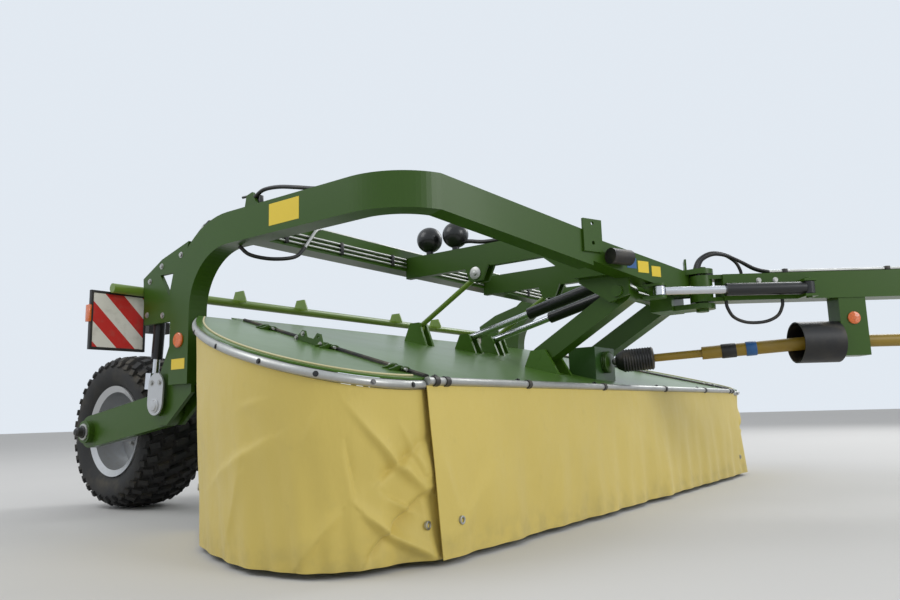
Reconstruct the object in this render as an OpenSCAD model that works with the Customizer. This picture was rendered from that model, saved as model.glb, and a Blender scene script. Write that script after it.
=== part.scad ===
/* [Wheels] */
// Diameter of the tyre
tyre_d = 850; // [760:10:900]
// Width of the tyre
tyre_w = 380; // [320:10:390]
// Diameter of the rim's flange
rim_d = 500; // [440:10:540]
// Distance of the wheel's middle from the centre line
wheel_y = 1210; // [1190:5:1215]
// Radius of the stub axle
axle_r = 35; // [30:1:40]

/* [Portal frame] */
// Distance of the arch's outer face from the centre line
arch_out_y = 1560; // [1550:5:1580]
// Width of the arch's box section
arch_w = 100; // [90:5:110]
// Height of the arch's box section
arch_h = 150; // [140:5:160]
// Height of the arch's top face above the ground
arch_top_z = 1415; // [1410:5:1440]
// Rear face of the leg, ahead of the axle line
leg_x = 800; // [790:5:810]
// Inner radius of the bend between leg and arch
bend_r = 275; // [250:5:290]
// Outer radius of the front corner, seen from above
corner_r = 330; // [300:10:340]
// Where the front corner starts, ahead of the axle line
corner_x = 2000; // [1980:5:2020]
// Turn of the front corner, seen from above, in degrees
corner_turn = 68; // [67:0.5:69]
// Height of the cross beam
cross_h = 120; // [100:5:130]

/* [Header] */
// Front edge of the deck, ahead of the axle line
deck_front_x = 2500; // [2480:5:2510]
// Rear edge of the deck, ahead of the axle line
deck_rear_x = 1060; // [1055:5:1080]
// Height of the deck's front edge above the ground
deck_front_z = 575; // [565:5:590]
// Slope of the deck in degrees, rising to the rear
deck_slope = 14.5; // [14:0.1:15]
// Thickness of the deck's sheet
sheet = 6; // [5:1:8]
// Half of the deck's width at its front edge
deck_half_front = 1740; // [1720:5:1750]
// Half of the deck's width at its rear edge
deck_half_rear = 1400; // [1390:5:1405]
// Radius of the edge tube
rim_r = 14; // [12:1:16]
// Gap between the curtains' hem and the ground
hem_gap = 20; // [15:1:40]

/* [Cutting and conditioning] */
// Number of mowing discs
disc_n = 9; // [9]
// Distance from one mowing disc to the next
disc_pitch = 380; // [376:1:384]
// Radius that the blades' tips reach
blade_reach = 245; // [235:1:248]
// Radius that the rotor's tines reach
rotor_reach = 290; // [280:5:295]
// Number of tine rows round the rotor
tine_rows = 6; // [4:1:8]

/* [Drawbar] */
// Length from the swing pivot to the middle of the hitch eye
drawbar_l = 3700; // [3500:50:3900]
// Width of the drawbar's box section
drawbar_w = 120; // [110:5:130]
// Height of the drawbar's box section
drawbar_h = 130; // [120:2:130]
// Swing to the left at which the machine is parked, in degrees
swing_rest = 36; // [36]
// Height of the hitch eye above the ground
hitch_z = 480; // [450:10:520]
// Bore radius of the hitch eye
hitch_bore_r = 25.5; // [25:0.5:26]
// Radius of the swing pivot's pin
pivot_pin_r = 30; // [25:1:32]

/* [Hidden] */
$fn = 48;
fit = 0.05;
tyre_r = tyre_d / 2;
arch_in_y = arch_out_y - arch_w;
arch_mid_y = arch_out_y - arch_w / 2;
arch_low_z = arch_top_z - arch_h;
leg_front_x = leg_x + arch_h;
bend_x = leg_front_x + bend_r;
bend_z = arch_low_z - bend_r;
leg_foot_z = 640;
bend_n = 18;
pivot_x = 2880;
pivot_z = 1035;
hitch_pos = [pivot_x + drawbar_l * cos(swing_rest), drawbar_l * sin(swing_rest), hitch_z];

arm_pivot = [700, 530];
arm_y = 1485;
arm_t = 50;
arm_r = 85;
plate_t = 20;
side_gap = 6;
arm_pin_r = 36;
lift_pin_r = 12;

head_y = 620;
head_in_y = 372;
head_drop = 0.2;
head_low_drop = 0.25;
link_y = 270;
lower_hinge = [2600, 1020];
lower_foot = [2140, 745];
rod_y = 400;
upper_hinge = [1840, 1200];
upper_foot = [1420, 950];
relief_y = 120;
relief_top = [2440, 1115];
relief_foot = [1560, 895];
lift_top = [600, 1000];
lift_foot = [568, 655];
swing_eye = [2765, -262];
swing_tail = [470, -120];
swing_z = 1012;
swing_pin_r = 14;
swing_out = 346;
gear_pos = [2410, 0, 712];
cone_pos = [540, 0, 762];
jack_at = 2850;
board_hinge = [1010, 902];
stub_l = 120;
stub_r = 17.5;
stub_at = 3400;
stub_mid = stub_at + stub_l / 2;
wing_hinge_up = 16;
fold_seam = 7;

function deck_z(x) = deck_front_z + (deck_front_x - x) * tan(deck_slope);
function seam_y(x) = deck_half_rear + (deck_half_front - deck_half_rear)
    * (x - deck_rear_x) / (deck_front_x - deck_rear_x);
function bezier(p, t) = pow(1 - t, 3) * p[0] + 3 * pow(1 - t, 2) * t * p[1]
    + 3 * (1 - t) * t * t * p[2] + pow(t, 3) * p[3];
wing_bow = [[deck_front_x, -deck_half_front - fold_seam], [deck_front_x + 60, -2150],
    [2150, -2440], [1140, -1640]];
bow_n = 16;
bow = [for (i = [0:bow_n]) bezier(wing_bow, i / bow_n)];

farm_green = [0.20, 0.42, 0.12];
dark_green = [0.10, 0.24, 0.08];
steel = [0.72, 0.73, 0.74];
black = [0.05, 0.05, 0.05];
cream = [0.82, 0.74, 0.45];
yellow = [0.86, 0.66, 0.10];

module row() translate(-hitch_pos) children();
module side(s) scale([1, s, 1]) children();
module mirrored(s) if (s < 0) children(); else mirror([0, 1, 0]) children();

module disc_y(p, y0, y1, r) translate([p[0], y0, p[1]]) rotate([-90, 0, 0]) cylinder(r = r, h = y1 - y0);
module disc_z(p, z0, z1, r) translate([p[0], p[1], z0]) cylinder(r = r, h = z1 - z0);
module plate_y(points, y0, y1) translate([0, y1, 0]) rotate([90, 0, 0]) linear_extrude(y1 - y0) polygon(points);
module bar_xz(p, q, y0, y1, r0, r1) {
    run = norm(q - p);
    a = atan2(q[1] - p[1], q[0] - p[0]);
    translate([p[0], (y0 + y1) / 2, p[1]]) rotate([0, -a, 0]) rotate([0, 90, 0]) cylinder(r1 = r0, r2 = r1, h = run);
}
function stadium(p, q, r) = let (a = atan2(q[1] - p[1], q[0] - p[0]))
    concat(arc(q[0], q[1], r, a - 90, a + 90, 24), arc(p[0], p[1], r, a + 90, a + 270, 24));
module slab_xz(p, q, y0, y1, r) plate_y(stadium(p, q, r), y0, y1);
module eye_xz(p, y0, y1, r, hole) difference() {
    disc_y(p, y0, y1, r);
    disc_y(p, y0 - 1, y1 + 1, hole);
}
function arc(cx, cy, r, a0, a1, n) = [for (i = [0:n]) [cx + r * cos(a0 + (a1 - a0) * i / n),
    cy + r * sin(a0 + (a1 - a0) * i / n)]];

module arch() {
    // leg, bend and level run lie in one upright plane
    plate_y(concat([[leg_x, leg_foot_z]], arc(bend_x, bend_z, bend_r + arch_h, 180, 90, bend_n),
        [[corner_x, arch_top_z], [corner_x, arch_low_z]], arc(bend_x, bend_z, bend_r, 90, 180, bend_n),
        [[leg_front_x, leg_foot_z]]), -arch_out_y, -arch_in_y);
    // front corner, bent round an upright axis
    translate([0, 0, arch_low_z]) linear_extrude(arch_h) polygon(concat(
        arc(corner_x, corner_r - arch_out_y, corner_r, -90, corner_turn - 90, bend_n),
        arc(corner_x, corner_r - arch_out_y, corner_r - arch_w, corner_turn - 90, -90, bend_n)));
    // slanting run towards the head
    head_run() rotate([90, 0, 0]) translate([0, 0, -arch_w]) linear_extrude(arch_w)
        polygon([[0, arch_low_z], [0, arch_top_z], [arm_end, arch_top_z - arm_end * head_drop],
            [arm_end, arch_low_z - arm_end * head_drop]]);
    // clevis plates and pin that hold the swing arm
    for (y = [arm_y - arm_t / 2 - side_gap - plate_t, arm_y + arm_t / 2 + side_gap])
        plate_y([[620, 560], [660, 640], [leg_x, 900], [leg_front_x, 900], [leg_front_x, 600], [760, 450], [660, 450]], -y - plate_t, -y);
    disc_y(arm_pivot, -arm_y - arm_t / 2 - side_gap - plate_t - 12, -arm_y + arm_t / 2 + side_gap + plate_t, arm_pin_r);
    // triangular gusset behind the bend
    translate([0, -arch_out_y + 30, 0]) rotate([90, 0, 0]) linear_extrude(plate_t) difference() {
        polygon([[540, 1190], [700, 1270], [920, 1330], [leg_x + 30, 980], [leg_x, 950], [560, 950]]);
        polygon([[690, 1190], [800, 1190], [770, 1080]]);
    }
    disc_y(lift_top, -arch_out_y + 10, -arm_y + 32, lift_pin_r);
    // ear on top of the arch
    plate_y([[1290, arch_top_z - 20], [1310, arch_top_z + 70], [1350, arch_top_z + 80], [1400, arch_top_z - 20]], -arch_mid_y - 8, -arch_mid_y + 8);
}
corner_end = [corner_x + corner_r * sin(corner_turn), corner_r - arch_out_y - corner_r * cos(corner_turn)];
arm_end = (-corner_end[1] - head_y) / sin(corner_turn);
head_end = -corner_end[1] / sin(corner_turn);
module head_run() translate([corner_end[0], corner_end[1], 0]) rotate([0, 0, corner_turn]) children();

module arch_right() row() color(farm_green) arch();
module arch_left() row() color(farm_green) mirror([0, 1, 0]) arch();

head_top_z = arch_top_z - head_end * head_drop;
module head_side() {
    head_run() rotate([90, 0, 0]) translate([0, 0, -arch_w]) linear_extrude(arch_w)
        polygon([[arm_end, arch_top_z - arm_end * head_drop - 20],
            [arm_end, arch_top_z - arm_end * head_drop - 130],
            [head_end - 40, head_top_z - 120], [head_end - 40, head_top_z]]);
    // lifting plate with two holes
    head_run() translate([arm_end, -12, 0]) rotate([90, 0, 0]) translate([0, 0, -12]) linear_extrude(12) difference() {
        translate([-60, arch_top_z - arm_end * head_drop - 90]) square([110, 150]);
        translate([-5, arch_top_z - arm_end * head_drop + 40]) circle(9);
        translate([-5, arch_top_z - arm_end * head_drop - 50]) circle(9);
    }
}
module front_head() row() color(farm_green) {
    difference() {
        union() {
            head_side();
            mirror([0, 1, 0]) head_side();
            // fork plates of the swing pivot
            for (z = [pivot_z - drawbar_h / 2 - 8 - 25, pivot_z + drawbar_h / 2 + 8]) {
                disc_z([pivot_x, 0], z, z + 25, 62);
                translate([pivot_x - 200, -62, z]) cube([200, 124, 25]);
            }
            translate([pivot_x - 230, -90, pivot_z - drawbar_h / 2 - 33]) cube([110, 180, drawbar_h + 66]);
        }
        disc_z([pivot_x, 0], pivot_z - 200, pivot_z + 200, pivot_pin_r - 0.01);
    }
    disc_z([pivot_x, 0], pivot_z - drawbar_h / 2 - 45, pivot_z + drawbar_h / 2 + 45, pivot_pin_r);
    // plates that carry the lower link's hinge
    for (y = [-head_in_y, head_in_y - 20]) plate_y([[2405, 1080], [2405, 1150], [2560, 1170], [2660, 1130], [2660, 1000], [2560, 970]], y, y + 20);
    disc_y(lower_hinge, -head_in_y - 12, head_in_y + 12, 28);
    // cross tube for the relief cylinders
    disc_y(relief_top, -head_in_y, head_in_y, 26);
    // clevis of the swing cylinder's rod
    for (z = [swing_z - 35, swing_z + 23]) {
        disc_z(swing_eye, z, z + 12, 32);
        translate([swing_eye[0] - 70, swing_eye[1] - 32, z]) cube([70, 64, 12]);
    }
}

cross_x = [1240, 1350];
module cross_beam() row() {
    color(farm_green) translate([cross_x[0], -arch_in_y, arch_low_z + 15])
        cube([cross_x[1] - cross_x[0], 2 * arch_in_y, cross_h]);
    color(farm_green) for (m = [0, 1]) mirror([0, m, 0]) difference() {
        plate_y([[cross_x[1], 1235], [cross_x[1], 1355], [2250, 1355], [2600, 1210], [2600, 1095], [2400, 1100], [2230, 1235]],
            -rod_y - 20, -rod_y + 20);
        head_run() translate([0, -400, 900]) cube([head_end, 400 + arch_w, 600]);
    }
    // hanging lugs of the upper links
    color(farm_green) for (y = [-rod_y, rod_y], t = [-38, 22])
        plate_y([[1770, 1240], [1920, 1240], [1880, 1160], [1800, 1160]], y + t, y + t + 16);
}

module pivot_covers() row() for (m = [0, 1]) mirror([0, m, 0]) color(steel)
    translate([0, -arch_out_y + 6, 0]) slab_xz([700, 560], [705, 640], -12, -4, 62);

light_x = 560;
light_z = 1130;
module light_bar() row() color([0.45, 0.62, 0.30]) {
    disc_y([light_x - 45, light_z], -1700, 1700, 24);
    for (y = [-950, -480, 440, 910]) plate_y([[light_x - 90, light_z], [light_x - 60, light_z + 70], [light_x + 10, light_z + 70], [light_x + 40, light_z]], y, y + 8);
}
module warning_boards() row() for (s = [-1, 1]) color("white")
    translate([light_x - 95, s * 1640 - 140, light_z - 300]) cube([16, 280, 280]);
module rear_lamps() row() for (s = [-1, 1]) {
    color(black) translate([light_x - 150, s * 1400 - 60, light_z - 200]) cube([50, 120, 60]);
}
module accumulators() row() color(black) for (x = [1510, 1690]) {
    translate([x, -rod_y, 1440]) sphere(72);
    disc_z([x, -rod_y], 1355, 1400, 20);
}
module document_tube() row() color(black) head_run() translate([head_end - 600, -38, head_top_z + 26])
    rotate([0, 90, 0]) cylinder(r = 36, h = 120);
module beam_pipes() row() color(steel) for (x = [1260, 1285, 1310])
    translate([x, -1100, arch_low_z + 15 + cross_h + 12]) rotate([-90, 0, 0]) cylinder(r = 7, h = 2200, $fn = 24);

module on_drawbar() translate([pivot_x, 0, 0]) rotate([0, 0, swing_rest]) children();
module drawbar() row() on_drawbar() color(farm_green) {
    difference() {
        union() {
            disc_z([0, 0], pivot_z - drawbar_h / 2, pivot_z + drawbar_h / 2, 55);
            for (z = [pivot_z - drawbar_h / 2, pivot_z + drawbar_h / 2 - 20]) translate([0, -50, z]) cube([140, 100, 20]);
            translate([90, -drawbar_w / 2, pivot_z - drawbar_h / 2]) cube([3000, drawbar_w, drawbar_h]);
            // swan neck down to the hitch
            plate_y([[3000, pivot_z - drawbar_h / 2], [3080, pivot_z + drawbar_h / 2], [3230, pivot_z + drawbar_h / 2],
                [3560, hitch_z + 70], [3560, hitch_z - 60], [3430, hitch_z - 60]], -drawbar_w / 2, drawbar_w / 2);
            // leg that carries the drive line's bearing
            translate([640, -55, 690]) cube([130, 110, pivot_z - drawbar_h / 2 - 690 + 5]);
        }
        disc_z([0, 0], pivot_z - 200, pivot_z + 200, pivot_pin_r + fit);
        // drive line passes through the leg and the neck
        translate([600, 0, cone_pos[2]]) rotate([0, 90, 0]) cylinder(r = 32, h = 3200);
    }
    // clevis and pin of the swing cylinder's barrel
    for (z = [swing_z - 43, swing_z + 31]) translate([swing_tail[0] - 30, swing_tail[1] - 30, z]) cube([60, 90, 12]);
    disc_z(swing_tail, swing_z - 50, swing_z + 50, swing_pin_r);
}
module hitch_eye() row() color(steel) on_drawbar() difference() {
    union() {
        disc_z([drawbar_l, 0], hitch_z - 25, hitch_z + 25, 60);
        translate([3560, -35, hitch_z - 25]) cube([drawbar_l - 3560, 70, 50]);
    }
    disc_z([drawbar_l, 0], hitch_z - 30, hitch_z + 30, hitch_bore_r);
}
module drive_line() row() on_drawbar() {
    color(yellow) translate([600, 0, cone_pos[2]]) rotate([0, 90, 0]) cylinder(r = 30, h = 2800);
    color(steel) translate([stub_at, 0, cone_pos[2]]) rotate([0, 90, 0]) cylinder(r = stub_r, h = stub_l);
}
module drive_cone() row() on_drawbar() color(black) translate([440, 0, cone_pos[2]]) rotate([0, 90, 0])
    difference() {
        cylinder(r = 100, h = 200);
        translate([0, 0, -1]) cylinder(r = 94, h = 190);
        cylinder(r = 30.5, h = 210);
    }
module jack_sleeve() row() on_drawbar() color(farm_green) difference() {
    union() {
        disc_z([jack_at, -120], 600, 1180, 40);
        translate([jack_at - 50, -100, 1000]) cube([100, 100 - drawbar_w / 2, 60]);
    }
    disc_z([jack_at, -120], 590, 1160, 30.5);
}
module jack_leg() row() on_drawbar() color(steel) {
    disc_z([jack_at, -120], 12, 790, 30);
    translate([jack_at - 100, -220, 0]) cube([200, 200, 12]);
}

function on_bar(p) = [pivot_x + p[0] * cos(swing_rest) - p[1] * sin(swing_rest), p[0] * sin(swing_rest) + p[1] * cos(swing_rest)];
swing_from = on_bar(swing_tail);
swing_run = norm(swing_eye - swing_from);
swing_dir = atan2(swing_eye[1] - swing_from[1], swing_eye[0] - swing_from[0]);
module on_swing() translate([swing_from[0], swing_from[1], swing_z]) rotate([0, 0, swing_dir]) children();
module swing_barrel() row() on_swing() color(black) difference() {
    union() {
        translate([20, 0, 0]) rotate([0, 90, 0]) cylinder(r = 30, h = 380);
        translate([0, 0, -28]) cylinder(r = 28, h = 56);
    }
    translate([60, 0, 0]) rotate([0, 90, 0]) cylinder(r = 19, h = 400);
    translate([0, 0, -30]) cylinder(r = swing_pin_r + fit, h = 60);
}
module swing_rod() row() on_swing() color(steel) {
    translate([swing_out, 0, 0]) rotate([0, 90, 0]) cylinder(r = 18.9, h = swing_run - swing_out - 25);
    difference() {
        translate([swing_run, 0, -20]) cylinder(r = 28, h = 40);
        translate([swing_run, 0, -21]) cylinder(r = 14, h = 42);
    }
}

shaft_from = [gear_pos[0], gear_pos[1], gear_pos[2]];
shaft_to = [on_bar(cone_pos)[0], on_bar(cone_pos)[1], cone_pos[2]];
shaft_run = norm(shaft_to - shaft_from);
shaft_yaw = atan2(shaft_to[1] - shaft_from[1], shaft_to[0] - shaft_from[0]);
shaft_pitch = asin((shaft_to[2] - shaft_from[2]) / shaft_run);
module on_shaft() translate(shaft_from) rotate([0, 0, shaft_yaw]) rotate([0, -shaft_pitch, 0]) children();
shaft_mouth = 430;
module shaft_front() row() on_shaft() color(yellow) difference() {
    translate([shaft_mouth, 0, 0]) rotate([0, 90, 0]) cylinder(r = 32, h = shaft_run - shaft_mouth - 40);
    translate([shaft_mouth - 1, 0, 0]) rotate([0, 90, 0]) cylinder(r = 29, h = shaft_run - shaft_mouth - 90);
}
module shaft_rear() row() on_shaft() {
    color(yellow) translate([150, 0, 0]) rotate([0, 90, 0]) cylinder(r = 20, h = shaft_mouth + 15 - 150);
    color(steel) translate([150, 0, 0]) rotate([0, 90, 0]) cylinder(r = 9, h = 490);
    color(black) translate([40, 0, 0]) rotate([0, 90, 0]) cylinder(r = 55, h = 150);
}
module shaft_cross_front() row() translate(shaft_to) color(steel) sphere(20);
module shaft_cross_rear() row() translate(shaft_from) color(steel) sphere(20);

module lower_link() row() color(farm_green) for (s = [-1, 1]) difference() {
    union() {
        slab_xz(lower_hinge, lower_foot, s * link_y - 50, s * link_y + 50, 48);
    }
    disc_y(lower_hinge, s * link_y - 60, s * link_y + 60, 28 + fit);
    disc_y(lower_foot, s * link_y - 60, s * link_y + 60, 20 + fit);
}
rod_dir = (upper_foot - upper_hinge) / norm(upper_foot - upper_hinge);
module upper_links() row() color([0.45, 0.62, 0.30]) for (s = [-1, 1]) {
    bar_xz(upper_hinge + 24 * rod_dir, upper_foot - 24 * rod_dir, s * rod_y, s * rod_y, 14, 14);
    eye_xz(upper_hinge, s * rod_y - 16, s * rod_y + 16, 28, 13);
    eye_xz(upper_foot, s * rod_y - 16, s * rod_y + 16, 28, 13);
}
relief_run = norm(relief_foot - relief_top);
relief_dir = atan2(relief_foot[1] - relief_top[1], relief_foot[0] - relief_top[0]);
module on_relief(s) translate([relief_top[0], s * relief_y, relief_top[1]]) rotate([0, -relief_dir, 0]) children();
module relief_barrels() row() color(black) for (s = [-1, 1]) on_relief(s) difference() {
    union() {
        translate([20, 0, 0]) rotate([0, 90, 0]) cylinder(r = 32, h = 460);
        translate([0, -30, 0]) rotate([-90, 0, 0]) cylinder(r = 42, h = 60);
    }
    translate([0, -33, 0]) rotate([-90, 0, 0]) cylinder(r = 26 + fit, h = 66);
    translate([60, 0, 0]) rotate([0, 90, 0]) cylinder(r = 19, h = 500);
}
module relief_rods() row() color(steel) for (s = [-1, 1]) on_relief(s) {
    translate([90, 0, 0]) rotate([0, 90, 0]) cylinder(r = 18.9, h = relief_run - 112);
    translate([relief_run, -20, 0]) rotate([-90, 0, 0]) difference() {
        cylinder(r = 26, h = 40);
        translate([0, 0, -1]) cylinder(r = 14, h = 42);
    }
}

module arm(s) {
    difference() {
        union() {
            slab_xz(arm_pivot, [0, tyre_r], -arm_y - arm_t / 2, -arm_y + arm_t / 2, arm_r);
            // lug for the lift cylinder
            plate_y([[520, 560], [540, 665], [596, 665], [620, 560]], -arm_y - 12, -arm_y + 12);
        }
        disc_y(arm_pivot, -arm_y - arm_t, -arm_y + arm_t, arm_pin_r + fit);
    }
    disc_y([0, tyre_r], -arm_y, -wheel_y + 120, axle_r);
    disc_y([0, tyre_r], -arm_y - arm_t / 2 - 30, -arm_y, 60);
}
module swing_arm_right() row() color(farm_green) arm();
module swing_arm_left() row() color(farm_green) mirror([0, 1, 0]) arm();

module rim() color(steel) translate([0, -wheel_y, tyre_r]) rotate([-90, 0, 0]) difference() {
    rotate_extrude($fn = 96) polygon([[50, -60], [50, 60], [60, 60], [60, 10], [rim_d / 2 - 35, 30],
        [rim_d / 2 - 35, 150], [rim_d / 2, 165], [rim_d / 2, 155], [rim_d / 2 - 22, 140],
        [rim_d / 2 - 22, -140], [rim_d / 2, -155], [rim_d / 2, -165], [rim_d / 2 - 35, -150],
        [rim_d / 2 - 35, 14], [60, -6], [60, -60]]);
}
module hub() color(steel) translate([0, -wheel_y, tyre_r]) rotate([-90, 0, 0]) difference() {
    translate([0, 0, -170]) cylinder(r = 62, h = 250);
    translate([0, 0, -171]) cylinder(r = axle_r + fit, h = 252);
}
module wheel_rim_right() row() { rim(); hub(); }
module wheel_rim_left() row() mirror([0, 1, 0]) { rim(); hub(); }
tyre_profile = [[rim_d / 2 - 21.5, -138], [rim_d / 2 + 0.5, -154], [rim_d / 2 + 40, -tyre_w / 2 + 12],
    [rim_d / 2 + 85, -tyre_w / 2], [tyre_r - 60, -tyre_w / 2 + 6], [tyre_r - 18, -tyre_w / 2 + 34], [tyre_r, -tyre_w / 2 + 80],
    [tyre_r, tyre_w / 2 - 80], [tyre_r - 18, tyre_w / 2 - 34], [tyre_r - 60, tyre_w / 2 - 6], [rim_d / 2 + 85, tyre_w / 2],
    [rim_d / 2 + 40, tyre_w / 2 - 12], [rim_d / 2 + 0.5, 154], [rim_d / 2 - 21.5, 138]];
module tyre() color(black) translate([0, -wheel_y, tyre_r]) rotate([-90, 0, 0])
    rotate_extrude($fn = 96) polygon(tyre_profile);
module tyre_right() row() tyre();
module tyre_left() row() mirror([0, 1, 0]) tyre();

lift_run = norm(lift_foot - lift_top);
lift_dir = atan2(lift_foot[1] - lift_top[1], lift_foot[0] - lift_top[0]);
lift_y = arm_y + 60;
module on_lift() translate([lift_top[0], -arm_y, lift_top[1]]) rotate([0, -lift_dir, 0]) children();
module lift_barrel() color(black) on_lift() difference() {
    union() {
        translate([20, 0, 0]) rotate([0, 90, 0]) cylinder(r = 28, h = 200);
        translate([0, -24, 0]) rotate([-90, 0, 0]) cylinder(r = 28, h = 48);
    }
    translate([0, -30, 0]) rotate([-90, 0, 0]) cylinder(r = lift_pin_r + fit, h = 60);
    translate([50, 0, 0]) rotate([0, 90, 0]) cylinder(r = 16, h = 300);
}
module lift_rod() color(steel) on_lift() {
    translate([55, 0, 0]) rotate([0, 90, 0]) cylinder(r = 15.9, h = lift_run - 105);
    translate([lift_run - 55, -40, -22]) cube([25, 80, 44]);
    for (y = [-40, 20]) translate([lift_run - 40, y, -22]) cube([66, 20, 44]);
}
module lift_barrel_right() row() lift_barrel();
module lift_barrel_left() row() mirror([0, 1, 0]) lift_barrel();
module lift_rod_right() row() lift_rod();
module lift_rod_left() row() mirror([0, 1, 0]) lift_rod();

module on_deck() translate([deck_front_x, 0, deck_front_z]) rotate([0, deck_slope, 0]) children();
deck_run = (deck_front_x - deck_rear_x) / cos(deck_slope);
module header_deck() row() color(farm_green) {
    on_deck() linear_extrude(sheet) polygon([[0, -deck_half_front], [0, deck_half_front],
        [-deck_run, deck_half_rear], [-deck_run, -deck_half_rear]]);
    // brackets of the lower link
    for (s = [-1, 1], t = [-75, 55]) plate_y([[2060, deck_z(2060)], [2100, 775], [2180, 775], [2260, deck_z(2260)]],
        s * link_y + t, s * link_y + t + 20);
    for (s = [-1, 1]) disc_y(lower_foot, s * link_y - 76, s * link_y + 76, 20);
    // brackets of the upper links
    for (s = [-1, 1], t = [-38, 22]) plate_y([[1340, deck_z(1340)], [1385, 975], [1450, 975], [1500, deck_z(1500)]],
        s * rod_y + t, s * rod_y + t + 16);
    // brackets of the relief rods
    for (s = [-1, 1], t = [-42, 26]) plate_y([[1490, deck_z(1490)], [1530, 920], [1590, 920], [1640, deck_z(1640)]],
        s * relief_y + t, s * relief_y + t + 16);
}
module header_sides() row() color(dark_green) {
    for (s = [-1, 1]) mirrored(s) plate_y([[1080, 260], [1080, deck_z(1080) - 1], [1760, deck_z(1760) - 1],
        [1770, 300], [1770, 102], [cut_x - 110, 102], [cut_x - 110, 60], [1500, 60]], -1398, -1388);
    // beams under the deck, behind the discs and over the rotor
    for (x = [1100, 1700]) plate_y([[x, deck_z(x) - 61], [x, deck_z(x) - 1], [x + 60, deck_z(x + 60) - 1],
        [x + 60, deck_z(x + 60) - 61]], -1388, 1388);
}
module edge_tube_front() row() color(steel) translate([deck_front_x + rim_r, -deck_half_front, deck_front_z - 4])
    rotate([-90, 0, 0]) cylinder(r = rim_r, h = 2 * deck_half_front);
curtain_t = 8;
flare = 70;
module front_curtain() row() color(cream)
    plate_y([[deck_front_x + rim_r - 4, deck_front_z - 4 - rim_r - 1], [deck_front_x + rim_r + 4, deck_front_z - 4 - rim_r - 1],
        [deck_front_x + rim_r + flare + 4, hem_gap], [deck_front_x + rim_r + flare - 4, hem_gap]], -deck_half_front, deck_half_front);

cut_x = 2050;
disc_z0 = 130;
module cutter_bar() row() color(dark_green) {
    translate([cut_x - 110, -1790, 45]) cube([200, 3580, 50]);
    for (i = [0:disc_n - 1]) {
        y = (i - (disc_n - 1) / 2) * disc_pitch;
        disc_z([cut_x, y], 90, disc_z0 + 20, 24.9);
        // skid under each disc
        plate_y([[cut_x - 110, 30], [cut_x - 110, 45], [cut_x + 90, 45], [cut_x + 150, 90], [cut_x + 160, 80], [cut_x + 100, 30]], y - 130, y + 130);
    }
}
module disc(i) row() translate([cut_x, (i - (disc_n + 1) / 2) * disc_pitch, disc_z0]) rotate([0, 0, i % 2 == 0 ? 90 : 0]) {
    color(farm_green) difference() {
        union() {
            intersection() {
                cylinder(r = 200, h = 12);
                translate([-200, -105, 0]) cube([400, 210, 12]);
            }
            cylinder(r1 = 90, r2 = 60, h = 40);
        }
        translate([0, 0, -1]) cylinder(r = 25, h = 30);
    }
    color(steel) for (a = [0, 180]) rotate([0, 0, a]) translate([150, -22, -8]) cube([blade_reach - 152, 44, 5]);
    color(steel) for (a = [0, 180]) rotate([0, 0, a]) translate([172, 0, -12]) cylinder(r = 12, h = 13);
}
module disc_1() disc(1);
module disc_2() disc(2);
module disc_3() disc(3);
module disc_4() disc(4);
module disc_5() disc(5);
module disc_6() disc(6);
module disc_7() disc(7);
module disc_8() disc(8);
module disc_9() disc(9);

rotor_pos = [1420, 400];
rotor_half = 1360;
tine_n = 14;
module rotor() row() color(dark_green) translate([rotor_pos[0], 0, rotor_pos[1]]) {
    rotate([-90, 0, 0]) translate([0, 0, -rotor_half]) cylinder(r = 90, h = 2 * rotor_half);
    for (r = [0:tine_rows - 1], i = [0:tine_n - 1])
        translate([0, -rotor_half + 60 + i * (2 * rotor_half - 140) / (tine_n - 1) + (r % 2) * 40, 0])
            rotate([0, r * 360 / tine_rows, 0]) translate([80, -10, -8]) cube([rotor_reach - 80, 20, 16]);
}
module gearbox() row() {
    color(farm_green) difference() {
        translate([2200, -120, 600]) cube([150, 240, 190]);
        on_deck() translate([-600, -200, -300]) cube([600, 400, 300 + sheet]);
    }
    color(steel) translate([2340, 0, gear_pos[2]]) rotate([0, 90, 0]) cylinder(r = 40, h = 30);
}
module swath_board() row() color(farm_green) {
    plate_y([[420, 260], [420, 640], [1000, 760], [1000, 180]], -905, -899);
    disc_z([board_hinge[0], -board_hinge[1]], 180, 760, 12);
}
module swath_board_right() swath_board();
module swath_board_left() row() mirror([0, 1, 0]) translate(hitch_pos) swath_board();

jack_pos = on_bar([jack_at, -120]);
function hinge_at(x) = [x + wing_hinge_up * sin(deck_slope), -seam_y(x) - fold_seam / 2,
    deck_z(x) + wing_hinge_up * cos(deck_slope)];
hinge_front = hinge_at(deck_front_x);
hinge_rear = hinge_at(bow[bow_n][0]);
wing_in = [for (p = [[deck_front_x, 0], [bow[bow_n][0], 0]]) [p[0], -seam_y(p[0]) - fold_seam]];
module wing() {
    color(farm_green) on_deck() linear_extrude(sheet) polygon([for (p = concat(bow, [wing_in[1]]))
        [(p[0] - deck_front_x) / cos(deck_slope), p[1]]]);
    color(steel) tube_path([for (p = bow) [p[0] - 0, p[1], deck_z(p[0]) - rim_r - 2]], rim_r, 10);
}
module wing_right() row() wing();
module wing_left() row() mirror([0, 1, 0]) wing();

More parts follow.
